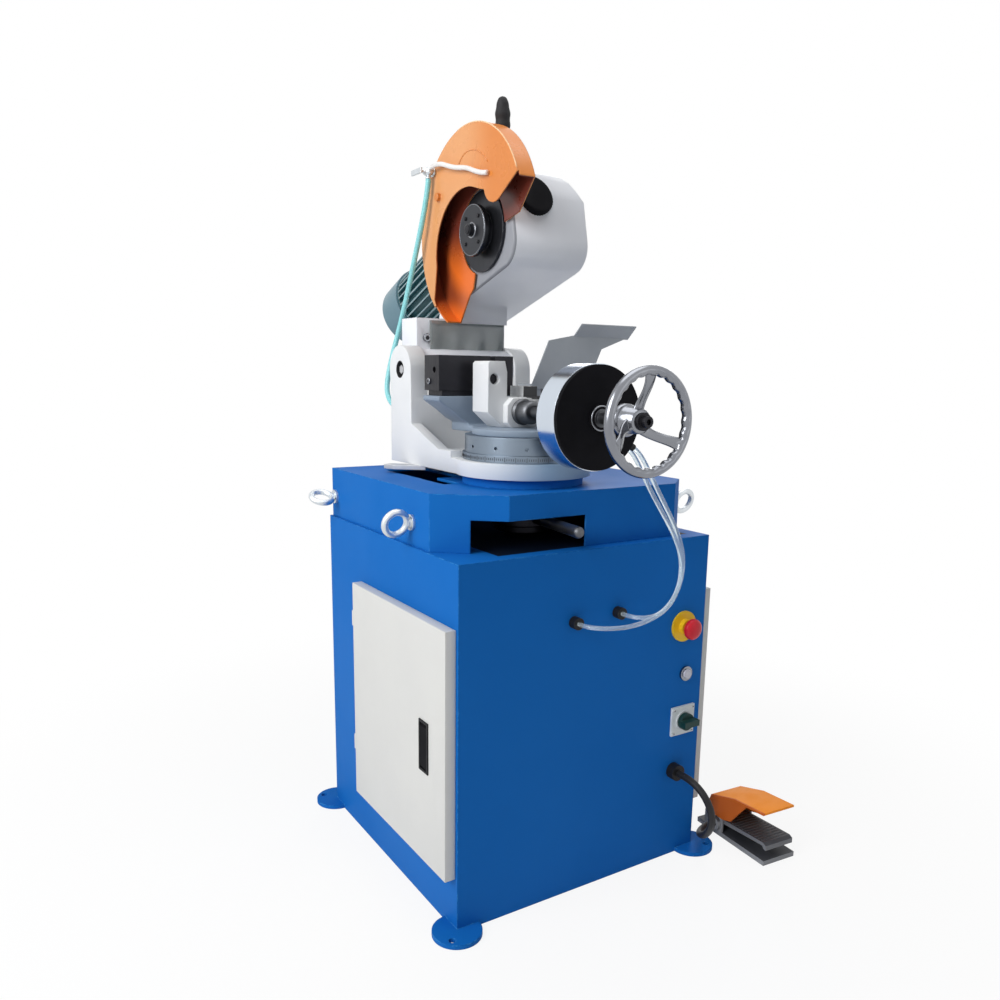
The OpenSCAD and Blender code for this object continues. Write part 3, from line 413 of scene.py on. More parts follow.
# Splash sheet: its pale edges are a painted highlight.
SHEET_GREY = painted("sheet_grey", (0.44, 0.47, 0.50), (0.36, 0.39, 0.43), gloss=0.3, patch=12, peel=0.04,
                     wear=0.4, bare=(0.6, 0.6, 0.6))
BED_GREY = painted("bed_grey", (0.25, 0.31, 0.39), (0.18, 0.23, 0.30), gloss=0.36, patch=10, peel=0.1,
                   peel_size=160, wear=0.4)
# Guard orange: its pale edges are a painted highlight.
GUARD_ORANGE = painted("guard_orange", (0.67, 0.215, 0.038), (0.63, 0.19, 0.03), gloss=0.26, patch=7,
                       peel=0.05, edge=0.0022, bare=(1.0, 0.66, 0.42), wear=0.8, spec=0.45)
# Seam orange: a pale orange painted as a highlight along the guard's seam.
SEAM_ORANGE = painted("seam_orange", (0.92, 0.56, 0.30), (0.86, 0.46, 0.20), gloss=0.2, patch=30, coat=0.3,
                      bare=(1.0, 0.7, 0.5))
MOTOR_TEAL = painted("motor_teal", (0.034, 0.125, 0.145), (0.025, 0.095, 0.115), gloss=0.36, patch=12,
                     peel=0.12, peel_size=140, bare=(0.45, 0.55, 0.58), wear=0.7)
FAN_COVER_GREY = painted("fan_cover_grey", (0.13, 0.23, 0.28), (0.10, 0.18, 0.22), gloss=0.34, patch=10)
TANK_GREY = painted("tank_grey", (0.42, 0.44, 0.45), (0.34, 0.36, 0.37), gloss=0.5, patch=8)
MACHINED_STEEL = bare_metal("machined_steel", (0.62, 0.63, 0.65), (0.50, 0.51, 0.54), rough=0.26)
TURNED_STEEL = bare_metal("turned_steel", (0.25, 0.30, 0.36), (0.16, 0.20, 0.25), rough=0.24,
                          across=(30, 30, 900), marks=0.5, bump=0.15)
GALVANISED = bare_metal("galvanised", (0.74, 0.77, 0.79), (0.60, 0.64, 0.67), across=(120, 120, 120),
                        marks=0.6)
# Chrome: its dark base colour is a painted reflection of dark surroundings.
CHROME = bare_metal("chrome", (0.30, 0.31, 0.33), (0.18, 0.19, 0.22), rough=0.16, across=(200, 30, 200),
                    marks=0.12, bump=0.02)
BARREL_CHROME = bare_metal("barrel_chrome", (0.66, 0.72, 0.80), (0.58, 0.64, 0.72), rough=0.13,
                           across=(20, 700, 20), marks=0.08, bump=0.01)
BLACK_OXIDE = bare_metal("black_oxide", (0.022, 0.022, 0.028), (0.012, 0.012, 0.016), rough=0.34, marks=0.5,
                         metallic=0.6, wear=0.5)
# Arbor steel: its bright edges are a painted highlight.
ARBOR_STEEL = bare_metal("arbor_steel", (0.045, 0.047, 0.055), (0.028, 0.03, 0.036), rough=0.24, marks=0.5,
                         metallic=0.8, edge=0.002, wear=1.0)
SCREW_STEEL = bare_metal("screw_steel", (0.14, 0.145, 0.155), (0.085, 0.09, 0.10), across=(30, 900, 30),
                         marks=0.6, bump=0.2)
BLACK_PLASTIC = moulded("black_plastic", (0.012, 0.012, 0.014), (0.008, 0.008, 0.009), rough=0.42, spec=0.2)
GRIP_RUBBER = moulded("grip_rubber", (0.018, 0.018, 0.02), (0.010, 0.010, 0.012), rough=0.6, grain=0.4,
                      grain_size=500)
LATCH_PLASTIC = moulded("latch_plastic", (0.012, 0.012, 0.014), (0.008, 0.008, 0.010), rough=0.5, spec=0.15)
CAP_BLACK = moulded("cap_black", (0.006, 0.006, 0.008), (0.004, 0.004, 0.005), rough=0.7, grain=0.25,
                    spec=0.08)
SIGNAL_YELLOW = moulded("signal_yellow", (0.90, 0.58, 0.02), (0.80, 0.50, 0.015), rough=0.3, grain=0.05)
SIGNAL_RED = moulded("signal_red", (0.68, 0.012, 0.03), (0.55, 0.008, 0.02), rough=0.28, grain=0.05)
SWITCH_GREEN = moulded("switch_green", (0.004, 0.038, 0.034), (0.003, 0.028, 0.025), rough=0.36)
BUTTON_PALE = moulded("button_pale", (0.66, 0.66, 0.74), (0.58, 0.58, 0.66), rough=0.3, grain=0.05)
SWITCH_PLATE_WHITE = moulded("switch_plate_white", (0.70, 0.74, 0.76), (0.62, 0.66, 0.68), rough=0.35,
                             grain=0.05)
NOZZLE_WHITE = moulded("nozzle_white", (0.84, 0.82, 0.80), (0.72, 0.70, 0.69), rough=0.35, grain=0.05)
HOOD_ORANGE = moulded("hood_orange", (0.95, 0.29, 0.008), (0.88, 0.25, 0.006), rough=0.55, grain=0.2,
                      grain_size=600)
PEDAL_GREY = moulded("pedal_grey", (0.055, 0.057, 0.065), (0.04, 0.042, 0.048), rough=0.5, spec=0.2)
PEDAL_DARK = moulded("pedal_dark", (0.055, 0.058, 0.068), (0.04, 0.042, 0.05), rough=0.48, grain=0.3,
                     spec=0.2)
PANEL_GREY = moulded("panel_grey", (0.35, 0.37, 0.38), (0.28, 0.30, 0.31), rough=0.5)
CONDUIT_BLACK = moulded("conduit_black", (0.012, 0.012, 0.014), (0.008, 0.008, 0.009), rough=0.5)
AIR_HOSE_CLEAR = clear_tube("air_hose_clear", (0.80, 0.90, 0.95), (0.70, 0.82, 0.90), 0.8)
COOLANT_HOSE_TEAL = clear_tube("coolant_hose_teal", (0.30, 0.73, 0.76), (0.23, 0.65, 0.69), 0.1, rough=0.25)
FLAP_CLEAR = clear_tube("flap_clear", (0.50, 0.54, 0.55), (0.30, 0.33, 0.33), 0.5, rough=0.1, patch=10.0,
                        patch_amount=0.8)


# Masks for painted shade, shadow and highlights, and for bare and blackened places

def inside(tree, centre, half_size):
    """1 inside a box."""
    return use_group(tree, INSIDE_BOX, Centre=centre, Half_Size=half_size).outputs["Inside"]


def from_axis(tree, point, axis):
    """Distance from an axis."""
    return use_group(tree, FROM_AXIS, Point=point, Axis=axis).outputs["Distance"]


def both(tree, first, second):
    """Where two masks overlap."""
    return math_node(tree, "MULTIPLY", first, second)


GUARD_HALF_WIDTH, WHOLE_GUARD = 0.018, 0.3
GUARD_MIDDLE = GUARD_FACE + GUARD_HALF_WIDTH
HOLLOW_RADIUS, HOLLOW_HALF_WIDTH = 0.1865, 0.0162
RIM_FROM, RIM_TO, RIM_HALF_WIDTH = 0.1869, 0.1875, 0.0172
PLATE_SKIN = 0.0012


def guard_slice(tree, x, half_width):
    """A slice through the whole guard, square to its axis."""
    return inside(tree, (x, SPINDLE_Y, SPINDLE_Z), (half_width, WHOLE_GUARD, WHOLE_GUARD))


def guard_reach(tree):
    """Distance from the guard's axis."""
    return from_axis(tree, (0, SPINDLE_Y, SPINDLE_Z), RIGHT)


def guard_hollow(tree):
    """The inside of the guard: between its two plates and within the rim."""
    within = math_node(tree, "LESS_THAN", guard_reach(tree), HOLLOW_RADIUS)
    return both(tree, guard_slice(tree, GUARD_MIDDLE, HOLLOW_HALF_WIDTH), within)


def guard_painted_shadow(tree):
    """Painted shadow: near-black in the upper and outer part of the guard's inside."""
    height = coordinate(tree, "Z")
    upper = smooth_step(tree, height, SPINDLE_Z - 0.09, SPINDLE_Z + 0.02, 0.0, 0.96)
    outer = smooth_step(tree, guard_reach(tree), 0.11, 0.16, 0.0, 0.78)
    low_end = smooth_step(tree, height, SPINDLE_Z - 0.16, SPINDLE_Z - 0.11)
    painted_shadow = math_node(tree, "MAXIMUM", upper, both(tree, outer, low_end))
    return both(tree, guard_hollow(tree), painted_shadow)


def guard_rim(tree):
    """The rim between the guard's plates, in a brighter orange: a painted highlight."""
    outer = smooth_step(tree, guard_reach(tree), RIM_FROM, RIM_TO, 0.0, 0.8)
    return both(tree, guard_slice(tree, GUARD_MIDDLE, RIM_HALF_WIDTH), outer)


def guard_back(tree):
    """The back half of the guard's outer plate, painted paler as a sheen."""
    back = smooth_step(tree, coordinate(tree, "Y"), SPINDLE_Y - 0.1, SPINDLE_Y + 0.02, 0.0, 0.9)
    return both(tree, guard_slice(tree, GUARD_FACE, PLATE_SKIN), back)


FLANGE_MIDDLE = Vector((TABLE_X, TABLE_Y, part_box("swivel_arm")[0].z + 0.0138))
FLANGE_HALF_SIZE = Vector((0.2, 0.2, 0.0145))


def flange_front(tree):
    """The swivel flange's turned rim, bare towards the front right and painted darker there as shade."""
    band = inside(tree, FLANGE_MIDDLE, FLANGE_HALF_SIZE)
    front = smooth_step(tree, coordinate(tree, "Y"), TABLE_Y + 0.01, TABLE_Y - 0.06)
    right = smooth_step(tree, coordinate(tree, "X"), TABLE_X - 0.14, TABLE_X - 0.02)
    return both(tree, band, both(tree, front, right))


def ring_mask(tree, reach, inner, outer, most=1.0):
    """A ring round an axis; inner and outer are (start, end) of its soft borders."""
    return both(tree, smooth_step(tree, reach, *inner), smooth_step(tree, reach, *outer, 0.0, most))


def fin_tips(tree):
    """Outer edges of the motor's fins, painted paler as a highlight."""
    reach = from_axis(tree, MOTOR_POINT, ALONG_MOTOR)
    return ring_mask(tree, reach, inner=(0.0728, 0.0742), outer=(0.0757, 0.0753), most=0.9)


def pin_shadow(tree):
    """The dark ring in the recess round the pivot pin's ends."""
    reach = from_axis(tree, middle("pivot_pin"), RIGHT)
    return ring_mask(tree, reach, inner=(0.0095, 0.0115), outer=(0.0175, 0.0169))


def under_tray(tree):
    """Top of the cabinet under the chip tray, painted near-black as shade."""
    return inside(tree, centre=mm(30, 1, 650), half_size=mm(215, 249, 4))


def under_table(tree):
    """What stands inside the chip tray, in the dark."""
    return inside(tree, centre=mm(-40, -100, 690), half_size=mm(100, 90, 58))


def case_end(tree):
    """The gear casting's end behind the guard, painted darker as shade from the guard."""
    return inside(tree, centre=(CASE_END, SPINDLE_Y, SPINDLE_Z), half_size=(0.006, 0.3, 0.125))


def jaw_wing(tree):
    """The jaw's low right face, blackened like the fixed jaw."""
    return inside(tree, centre=mm(0, -50, 914), half_size=mm(21.5, 40, 13))


HOOD_HALF_WIDTH, HOOD_WALL = 0.0385, 0.003
# Strength of the painted shading on the hood's left wall and the pedal's walls.
PAINTED_SHADING_AMOUNT = 0.8


def hood_side(tree):
    """The hood's left wall and the back of its roof, painted darker as shade."""
    sideways = Vector((math.cos(PEDAL_TURN), math.sin(PEDAL_TURN), 0))
    across = vector_node(tree, "DOT_PRODUCT", place(tree), sideways)
    wall = PEDAL_AT.dot(sideways) - HOOD_HALF_WIDTH
    return math_node(tree, "MULTIPLY", smooth_step(tree, across, wall + HOOD_WALL, wall), PAINTED_SHADING_AMOUNT)


def upright_faces(tree):
    """Walls rather than treads: faces that look sideways, painted lighter than the tops as shading."""
    facing = tree.nodes.new("ShaderNodeNewGeometry").outputs["True Normal"]
    upward = math_node(tree, "ABSOLUTE", add(tree, "ShaderNodeSeparateXYZ", Vector=facing).outputs["Z"])
    return math_node(tree, "MULTIPLY", smooth_step(tree, upward, 0.75, 0.35), PAINTED_SHADING_AMOUNT)


# Painted shade: the guard's inside in a redder orange than its plates.
tint_base(GUARD_ORANGE, guard_hollow, (0.80, 0.16, 0.016))
# Painted shadow: near-black in the upper and outer part of the guard's inside.
tint_base(GUARD_ORANGE, guard_painted_shadow, (0.12, 0.024, 0.018))
# Painted highlight: the rim in a brighter copy of the plates' orange.
tint_base(GUARD_ORANGE, guard_rim, (0.90, 0.29, 0.05))
# Painted sheen: the back of the guard's outer plate in a paler orange.
tint_base(GUARD_ORANGE, guard_back, (0.74, 0.34, 0.13))
# Bare turned metal and painted shade: the flange's rim in a darker blue-grey towards the front right.
tint_base(COLUMN_WHITE, flange_front, (0.25, 0.37, 0.52))
# Painted shade: the casting's end behind the guard in a darker grey.
tint_base(GEAR_CASE_GREY, case_end, (0.30, 0.31, 0.34))
tint_base(COLUMN_WHITE, jaw_wing, (0.03, 0.032, 0.036))
tint_base(COLUMN_WHITE, pin_shadow, (0.03, 0.03, 0.032))
tint_base(MACHINED_STEEL, pin_shadow, (0.05, 0.05, 0.055))
# Painted shading: the pedal's sideways walls lighter than its dark tops.
tint_base(PEDAL_GREY, upright_faces, (0.30, 0.31, 0.33))
tint_base(PEDAL_DARK, upright_faces, (0.20, 0.205, 0.22))
# Painted shade: the hood's left wall in a darker red.
tint_base(HOOD_ORANGE, hood_side, (0.52, 0.085, 0.012))
tint_base(SCREW_STEEL, under_table, (0.02, 0.02, 0.024))
# Painted highlight: paler outer edges on the motor's fins.
tint_base(MOTOR_TEAL, fin_tips, (0.32, 0.43, 0.46))
# Painted shade: near-black on the cabinet top under the chip tray.
tint_base(CABINET_BLUE, under_tray, (0.004, 0.008, 0.02))

NODE_FINISH = {
    CABINET_BLUE: ["cabinet", "tray", "pedestal"],
    DOOR_COAT: ["left_door", "right_door"],
    COLUMN_WHITE: ["swivel_arm", "moving_jaw"],
    GEAR_CASE_GREY: ["head_casting", "side_cover"],
    SHEET_GREY: ["splash_sheet"],
    BED_GREY: ["vise_bed"],
    GUARD_ORANGE: ["guard"],
    MOTOR_TEAL: ["motor", "terminal_box", "coolant_pump"],
    FAN_COVER_GREY: ["fan_cover"],
    TANK_GREY: ["coolant_tank"],
    MACHINED_STEEL: ["pivot_pin", "worm_shaft", "stop_tongue"],
    SCREW_STEEL: ["post", "vise_screw", "jaw_nut", "lock_lever"],
    TURNED_STEEL: ["table_disc", "scale_band"],
    GALVANISED: ["lifting_eyes", "hose_barb", "tap", "tap_lever"],
    CHROME: ["handwheel", "button_bezel"],
    BARREL_CHROME: ["drum"],
    BLACK_OXIDE: ["fixed_jaw", "jaw_shoe", "vise_bracket", "wheel_bolt"],
    ARBOR_STEEL: ["spindle"],
    BLACK_PLASTIC: ["fittings"],
    GRIP_RUBBER: ["handle"],
    LATCH_PLASTIC: ["left_latch", "right_latch"],
    CAP_BLACK: ["drum_cap", "nose_cap", "left_paddle", "right_paddle"],
    SIGNAL_YELLOW: ["estop_base"],
    SIGNAL_RED: ["estop_button"],
    BUTTON_PALE: ["push_button"],
    SWITCH_PLATE_WHITE: ["switch_plate"],
    SWITCH_GREEN: ["switch_knob"],
    NOZZLE_WHITE: ["nozzle"],
    HOOD_ORANGE: ["pedal_hood"],
    PEDAL_GREY: ["pedal_base"],
    PEDAL_DARK: ["pedal_plate"],
    PANEL_GREY: ["electric_panel"],
}
for finish, node_names in NODE_FINISH.items():
    for node_name in node_names:
        NODES[node_name].data.materials.clear()
        NODES[node_name].data.materials.append(finish)


# Making pieces

def piece(name, shape, material, body, replaces=()):
    """A finished shape as an object that rides on a body, with its faces pointing outwards."""
    bmesh.ops.remove_doubles(shape, verts=shape.verts, dist=1e-6)
    bmesh.ops.recalc_face_normals(shape, faces=shape.faces)
    mesh = bpy.data.meshes.new(name)
    shape.to_mesh(mesh)
    shape.free()
    mesh.materials.append(material)
    mesh.polygons.foreach_set("use_smooth", [True] * len(mesh.polygons))
    made = bpy.data.objects.new(name, mesh)
    bpy.context.scene.collection.objects.link(made)
    if body:
        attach(made, body)
    if replaces:
        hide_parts(*replaces)
    return made


FLAT_ANGLE, EDGE_ANGLE, SHARP_ANGLE = math.radians(0.6), math.radians(28), math.radians(40)


def softened(node, name, body, width, wider=None):
    """A copy of a cast or folded node with rounded edges; wider(edge) may give an edge another radius."""
    shape = bmesh.new()
    shape.from_mesh(NODES[node].data)
    shape.transform(NODES[node].matrix_world)
    bmesh.ops.remove_doubles(shape, verts=shape.verts, dist=2e-6)
    bmesh.ops.dissolve_limit(shape, angle_limit=FLAT_ANGLE, verts=shape.verts, edges=shape.edges)
    by_radius = {}
    for edge in shape.edges:
        if len(edge.link_faces) == 2 and edge.calc_face_angle() > EDGE_ANGLE:
            chosen = wider(edge) if wider else None
            by_radius.setdefault(chosen or width, []).append(edge)
    for radius, edges in sorted(by_radius.items(), reverse=True):
        edges = [e for e in edges if e.is_valid]
        if edges:
            bmesh.ops.bevel(shape, geom=edges, offset=radius, offset_type="OFFSET", segments=3, profile=0.5,
                            affect="EDGES", clamp_overlap=True)
    bmesh.ops.triangulate(shape, faces=[f for f in shape.faces if len(f.verts) > 4])
    made = piece(name, shape, NODES[node].data.materials[0], body, [node])
    made.data.set_sharp_from_angle(angle=SHARP_ANGLE)
    return made


def frame_along(direction):
    """Two vectors square to a direction."""
    direction = direction.normalized()
    helper = UP if abs(direction.z) < 0.9 else RIGHT
    side = direction.cross(helper).normalized()
    return side, direction.cross(side)


def skin_between(shape, first, second):
    """Faces between two closed rings of equal count."""
    for k in range(len(first)):
        shape.faces.new((first[k - 1], first[k], second[k], second[k - 1]))


def skin_rings(shape, rings):
    """Faces along a row of rings, with flat ends."""
    loops = [[shape.verts.new(p) for p in ring] for ring in rings]
    for first, second in zip(loops, loops[1:]):
        skin_between(shape, first, second)
    shape.faces.new(loops[0])
    shape.faces.new(list(reversed(loops[-1])))


def lathe(shape, start, direction, profile, steps=48, ripple=None):
    """Turned form: profile is (height along direction, radius); ripple(angle, row) changes the radius."""
    direction = direction.normalized()
    side, other = frame_along(direction)
    rings = []
    for row, (height, radius) in enumerate(profile):
        centre = start + direction * height
        ring = []
        for angle in full_turn(steps):
            r = radius + (ripple(angle, row) if ripple else 0.0)
            ring.append(centre + side * (r * math.cos(angle)) + other * (r * math.sin(angle)))
        rings.append(ring)
    skin_rings(shape, rings)


def knurl(depth, count, rows):
    """Ripple of a knurled edge on some rows of a profile."""
    return lambda angle, row: depth * math.cos(count * angle) if row in rows else 0.0


def turned(name, forms, material, body, replaces=()):
    """A piece of one or more turned forms, each one given by what lathe takes."""
    shape = bmesh.new()
    for form in forms:
        lathe(shape, *form)
    return piece(name, shape, material, body, replaces)


ROUTE_STEPS = 8


def spline(points):
    """Smooth route along given points, from the first to the last."""
    p = [2 * points[0] - points[1], *points, 2 * points[-1] - points[-2]]
    line = []
    for a, b, c, d in zip(p, p[1:], p[2:], p[3:]):
        for k in range(ROUTE_STEPS):
            t = k / ROUTE_STEPS
            line.append(((1 - t) ** 3 * a + (3 * t ** 3 - 6 * t ** 2 + 4) * b
                         + (-3 * t ** 3 + 3 * t ** 2 + 3 * t + 1) * c + t ** 3 * d) / 6)
    return line + [points[-1]]


def sweep(shape, line, radius, sides):
    """A round bar along a line."""
    section = [(radius * math.cos(angle), radius * math.sin(angle)) for angle in full_turn(sides)]
    side = frame_along(line[1] - line[0])[0]
    rings = []
    for i, p in enumerate(line):
        ahead = (line[min(i + 1, len(line) - 1)] - line[max(i - 1, 0)]).normalized()
        side = (side - ahead * side.dot(ahead)).normalized()
        other = ahead.cross(side)
        rings.append([p + side * u + other * v for u, v in section])
    skin_rings(shape, rings)


def bent_bar(name, line, radius, sides, material, replaces=(), body="head"):
    """A piece that is one round bar along a line."""
    shape = bmesh.new()
    sweep(shape, line, radius, sides)
    return piece(name, shape, material, body, replaces)


# Hoses and the pedal's cable: routes as in the part's source, in millimetres

AIR_HOSE_A = [(52, -302, 826), (63, -302, 819.6), (79, -303, 801), (97, -306, 767), (128, -311, 717),
              (155, -316, 669), (166, -321, 629), (159, -327, 591), (136, -335, 557), (106, -340, 538),
              (84, -339, 530), (65, -328, 528), (56, -313, 528), (54, -300, 528), (54, -290, 528)]
AIR_HOSE_B = [(52, -282, 826), (63, -282, 819.6), (78, -285, 800), (93, -293, 763), (118, -308, 713),
              (143, -322, 665), (153, -331, 625), (144, -339, 584), (116, -347, 548), (76, -349, 532),
              (36, -350, 525), (3, -345, 523), (-23, -333, 523), (-38, -317, 523), (-43, -302, 523),
              (-43, -290, 523)]
COOLANT_HOSE = [(-82, 195, 1327), (-82, 196, 1313), (-85, 212, 1255), (-90, 238, 1185), (-98, 262, 1105),
                (-112, 279, 1025), (-126, 286, 969), (-136, 286, 924), (-138, 279.8, 901), (-138, 266, 886.5),
                (-138, 252, 879.8), (-138, 240, 878), (-138, 232.3, 878)]
CABLE_START = [(212, -293, 182), (212, -306, 182), (212, -331, 181), (215, -355, 169), (221, -371, 146),
               (229, -373, 115), (239, -359, 85), (252, -336, 60), (267, -311, 42)]
CABLE_END = [(-112, 12.5, 33), (-94, 27.5, 28), (-76, 36.5, 26.2), (-60, 39.5, 26), (-49, 39.5, 26)]
AIR_HOSE, CONDUIT, COOLANT_PIPE = 0.008, 0.014, 0.011
HOSE_SIDES = 20


def route(points):
    """A route written in millimetres, as metres."""
    return [mm(*p) for p in points]


def pedal_point(x, y, z):
    """A point in the pedal's own directions, in millimetres."""
    return PEDAL_AT + Matrix.Rotation(PEDAL_TURN, 3, "Z") @ mm(x, y, z)


def hose(name, points, diameter, material, body="base"):
    """A hose or cable from one fixed end to the other."""
    line = spline(points)
    made = bent_bar(name + "_line", line, diameter / 2, HOSE_SIDES, material, [name], body)
    return made


PEDAL_CABLE = route(CABLE_START) + [pedal_point(*p) for p in CABLE_END]
hose("air_hose_a", route(AIR_HOSE_A), AIR_HOSE, AIR_HOSE_CLEAR)
hose("air_hose_b", route(AIR_HOSE_B), AIR_HOSE, AIR_HOSE_CLEAR)
hose("conduit", PEDAL_CABLE, CONDUIT, CONDUIT_BLACK)
coolant = hose("coolant_hose", route(COOLANT_HOSE), COOLANT_PIPE, COOLANT_HOSE_TEAL,
               body=None)
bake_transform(coolant)


# Rounded castings and pressings

CAST_RADIUS, JAW_RADIUS, FOLD_RADIUS, PEDAL_BASE_RADIUS = 0.003, 0.0025, 0.002, 0.0015
CASE_END_RADIUS, CASE_NOSE_Y = 0.012, 0.03


def case_end_radius(edge):
    """The wider radius round the gear casting's nose, at its end behind the guard."""
    on_end = all(abs(v.co.x - CASE_END) < 1e-4 for v in edge.verts)
    return CASE_END_RADIUS if on_end and edge.verts[0].co.y < CASE_NOSE_Y else None


softened("swivel_arm", "cast_swivel_arm", "swivel", CAST_RADIUS)
softened("moving_jaw", "cast_moving_jaw", "jaw", JAW_RADIUS)
softened("vise_bed", "cast_vise_bed", "base", CAST_RADIUS)
softened("head_casting", "gear_casting", "head", CAST_RADIUS, case_end_radius)
for door in ("left_door", "right_door"):
    softened(door, door + "_skin", door, FOLD_RADIUS)
softened("pedal_hood", "moulded_hood", "base", FOLD_RADIUS)
softened("pedal_base", "moulded_pedal_base", "base", PEDAL_BASE_RADIUS)
softened("pedal_plate", "moulded_pedal_plate", "pedal_plate", FOLD_RADIUS)


# Handwheel: chromed rim with a finger-waved inside, three flat bent spokes and a stepped hub

WHEEL_Y = -0.441
WHEEL_RADIUS, RIM_RADIUS = 0.077, 0.0085
RIM_STEPS, RIM_SIDES = 240, 20
WAVES, WAVE_DEPTH = 24, 0.0022
SPOKE_ANGLES, SPOKE_BEND = (85, 205, 325), 11
SPOKE_WIDTH, SPOKE_THICK = 0.0165, 0.0062
SPOKE_FLARE, SPOKE_ROUNDING = 0.35, 0.35
SPOKE_START, SPOKE_END = 0.015, WHEEL_RADIUS - 0.004
SPOKE_STEPS = 16
HUB_BACK, HUB_FRONT = -0.371, -0.4245
HUB_LENGTH = HUB_BACK - HUB_FRONT
SPOKE_FOOT_Y = HUB_FRONT + 0.013
HUB_PROFILE = [(0.0, 0.012), (0.0, 0.0245), (0.0015, 0.026), (0.019, 0.026), (0.0205, 0.0245),
               (0.0215, 0.0205), (HUB_LENGTH - 0.002, 0.0195), (HUB_LENGTH, 0.0178), (HUB_LENGTH, 0.012)]


def waved_rim(shape):
    """The rim, with finger waves on its inside."""
    loops = []
    for angle in full_turn(RIM_STEPS):
        ring = []
        for turn in full_turn(RIM_SIDES):
            inward = max(0.0, -math.cos(turn))
            r = RIM_RADIUS - WAVE_DEPTH * inward * (1 - math.cos(WAVES * angle)) / 2
            reach = WHEEL_RADIUS + r * math.cos(turn)
            ring.append(shape.verts.new((SCREW_X + reach * math.cos(angle), WHEEL_Y + r * math.sin(turn),
                                         SCREW_Z + reach * math.sin(angle))))
        loops.append(ring)
    for i in range(RIM_STEPS):
        skin_between(shape, loops[i - 1], loops[i])


def flat_spoke(shape, degrees):
    """A flat spoke that leaves the hub, swings sideways and meets the rim."""
    start, bend = math.radians(degrees - SPOKE_BEND / 2), math.radians(SPOKE_BEND)
    rows = []
    for i in range(SPOKE_STEPS + 1):
        share = i / SPOKE_STEPS
        ease = share * share * (3 - 2 * share)
        radius = SPOKE_START + (SPOKE_END - SPOKE_START) * share
        angle = start + bend * ease
        y = SPOKE_FOOT_Y + (WHEEL_Y - SPOKE_FOOT_Y) * ease
        half = SPOKE_WIDTH / 2 * (1 + SPOKE_FLARE * (2 * share - 1) ** 2)
        soft = half - SPOKE_THICK * SPOKE_ROUNDING
        along = Vector((math.cos(angle), 0, math.sin(angle)))
        across = Vector((-math.sin(angle), 0, math.cos(angle)))
        centre = Vector((SCREW_X, y, SCREW_Z)) + along * radius
        front = FRONT * SPOKE_THICK / 2
        rows.append([centre + across * half, centre + across * soft + front, centre - across * soft + front,
                     centre - across * half, centre - across * soft - front, centre + across * soft - front])
    skin_rings(shape, rows)


def make_handwheel():
    """Rim, spokes and hub as one casting."""
    shape = bmesh.new()
    waved_rim(shape)
    for degrees in SPOKE_ANGLES:
        flat_spoke(shape, degrees)
    lathe(shape, Vector((SCREW_X, HUB_BACK, SCREW_Z)), FRONT, HUB_PROFILE)
    piece("cast_handwheel", shape, CHROME, "handwheel", ["handwheel"])


make_handwheel()


# Guard seam: the rounded joint of plate and rim, painted pale along the front as a highlight

SEAM_FROM, SEAM_TO, SEAM_STEPS = math.radians(78), math.radians(154), 48
SEAM_SINK, SEAM_RADIUS, TRIM_SIDES = 0.0005, 0.0013, 10
SEAM_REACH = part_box("guard")[1].z - SPINDLE_Z - SEAM_SINK


def seam_point(step):
    """A point of the seam, from above the spindle to the front."""
    angle = SEAM_FROM + (SEAM_TO - SEAM_FROM) * step / SEAM_STEPS
    return Vector((GUARD_FACE + SEAM_SINK, SPINDLE_Y + SEAM_REACH * math.cos(angle),
                   SPINDLE_Z + SEAM_REACH * math.sin(angle)))


bent_bar("guard_seam", [seam_point(k) for k in range(SEAM_STEPS + 1)], SEAM_RADIUS, TRIM_SIDES, SEAM_ORANGE)


# Arbor trim: bright chamfer of the clamp flange and the washer under its bolt

BOLT_REACH, CHAMFER_STEPS, WASHER_STEPS = 0.012, 96, 64
CLAMP_FACE = Vector((ARBOR_TIP + BOLT_REACH, SPINDLE_Y, SPINDLE_Z))
FLANGE_CHAMFER = [(0, 0.0460), (0, 0.0479), (0.0008, 0.0479), (0.0024, 0.0465), (0.0024, 0.0460),
                  (0.0019, 0.0456)]
BOLT_WASHER = [(0, 0.0110), (0, 0.0150), (0.0028, 0.0150), (0.0034, 0.0145), (0.0034, 0.0115),
               (0.0019, 0.0112)]
turned("arbor_trim", [(CLAMP_FACE, LEFT, FLANGE_CHAMFER, CHAMFER_STEPS),
                      (CLAMP_FACE, LEFT, BOLT_WASHER, WASHER_STEPS)], CHROME, "spindle")


# Grip: a bar with a waved, tapering rubber sleeve

GRIP_X = middle("handle").x
GRIP_FOOT = Vector((GRIP_X, 0.039, 1.315))
GRIP_START = Vector((GRIP_X, 0.027, 1.380))
GRIP_TOP = Vector((GRIP_X - 0.006, 0.0205, 1.449))
BAR_PROFILE = [(0, 0.009), (0.07, 0.009)]
GRIP_RADIUS, GRIP_WAVE, GRIP_BELLY = 0.0112, 0.0006, 0.0028
GRIP_HALF_WAVES, GRIP_ROWS = 7, 48
GRIP_STEPS, BAR_STEPS = 28, 24
TAPER_FROM, TAPER_AMOUNT = 0.66, 0.42
DOME_FROM, DOME_FLAT = 0.93, 0.02


def grip_radius(share):
    """The sleeve's radius at a share of its length."""
    belly = GRIP_BELLY * math.sin(share ** 0.9 * math.pi)
    swell = GRIP_RADIUS + GRIP_WAVE * math.cos(share * GRIP_HALF_WAVES * math.pi) + belly
    taper = 1 - TAPER_AMOUNT * max(0.0, (share - TAPER_FROM) / (1 - TAPER_FROM)) ** 1.6
    past_dome = max(0.0, (share - DOME_FROM) / (1 - DOME_FROM))
    dome = min(1.0, math.sqrt(max(0.0, 1 - past_dome ** 2)) + DOME_FLAT)
    return swell * taper * dome


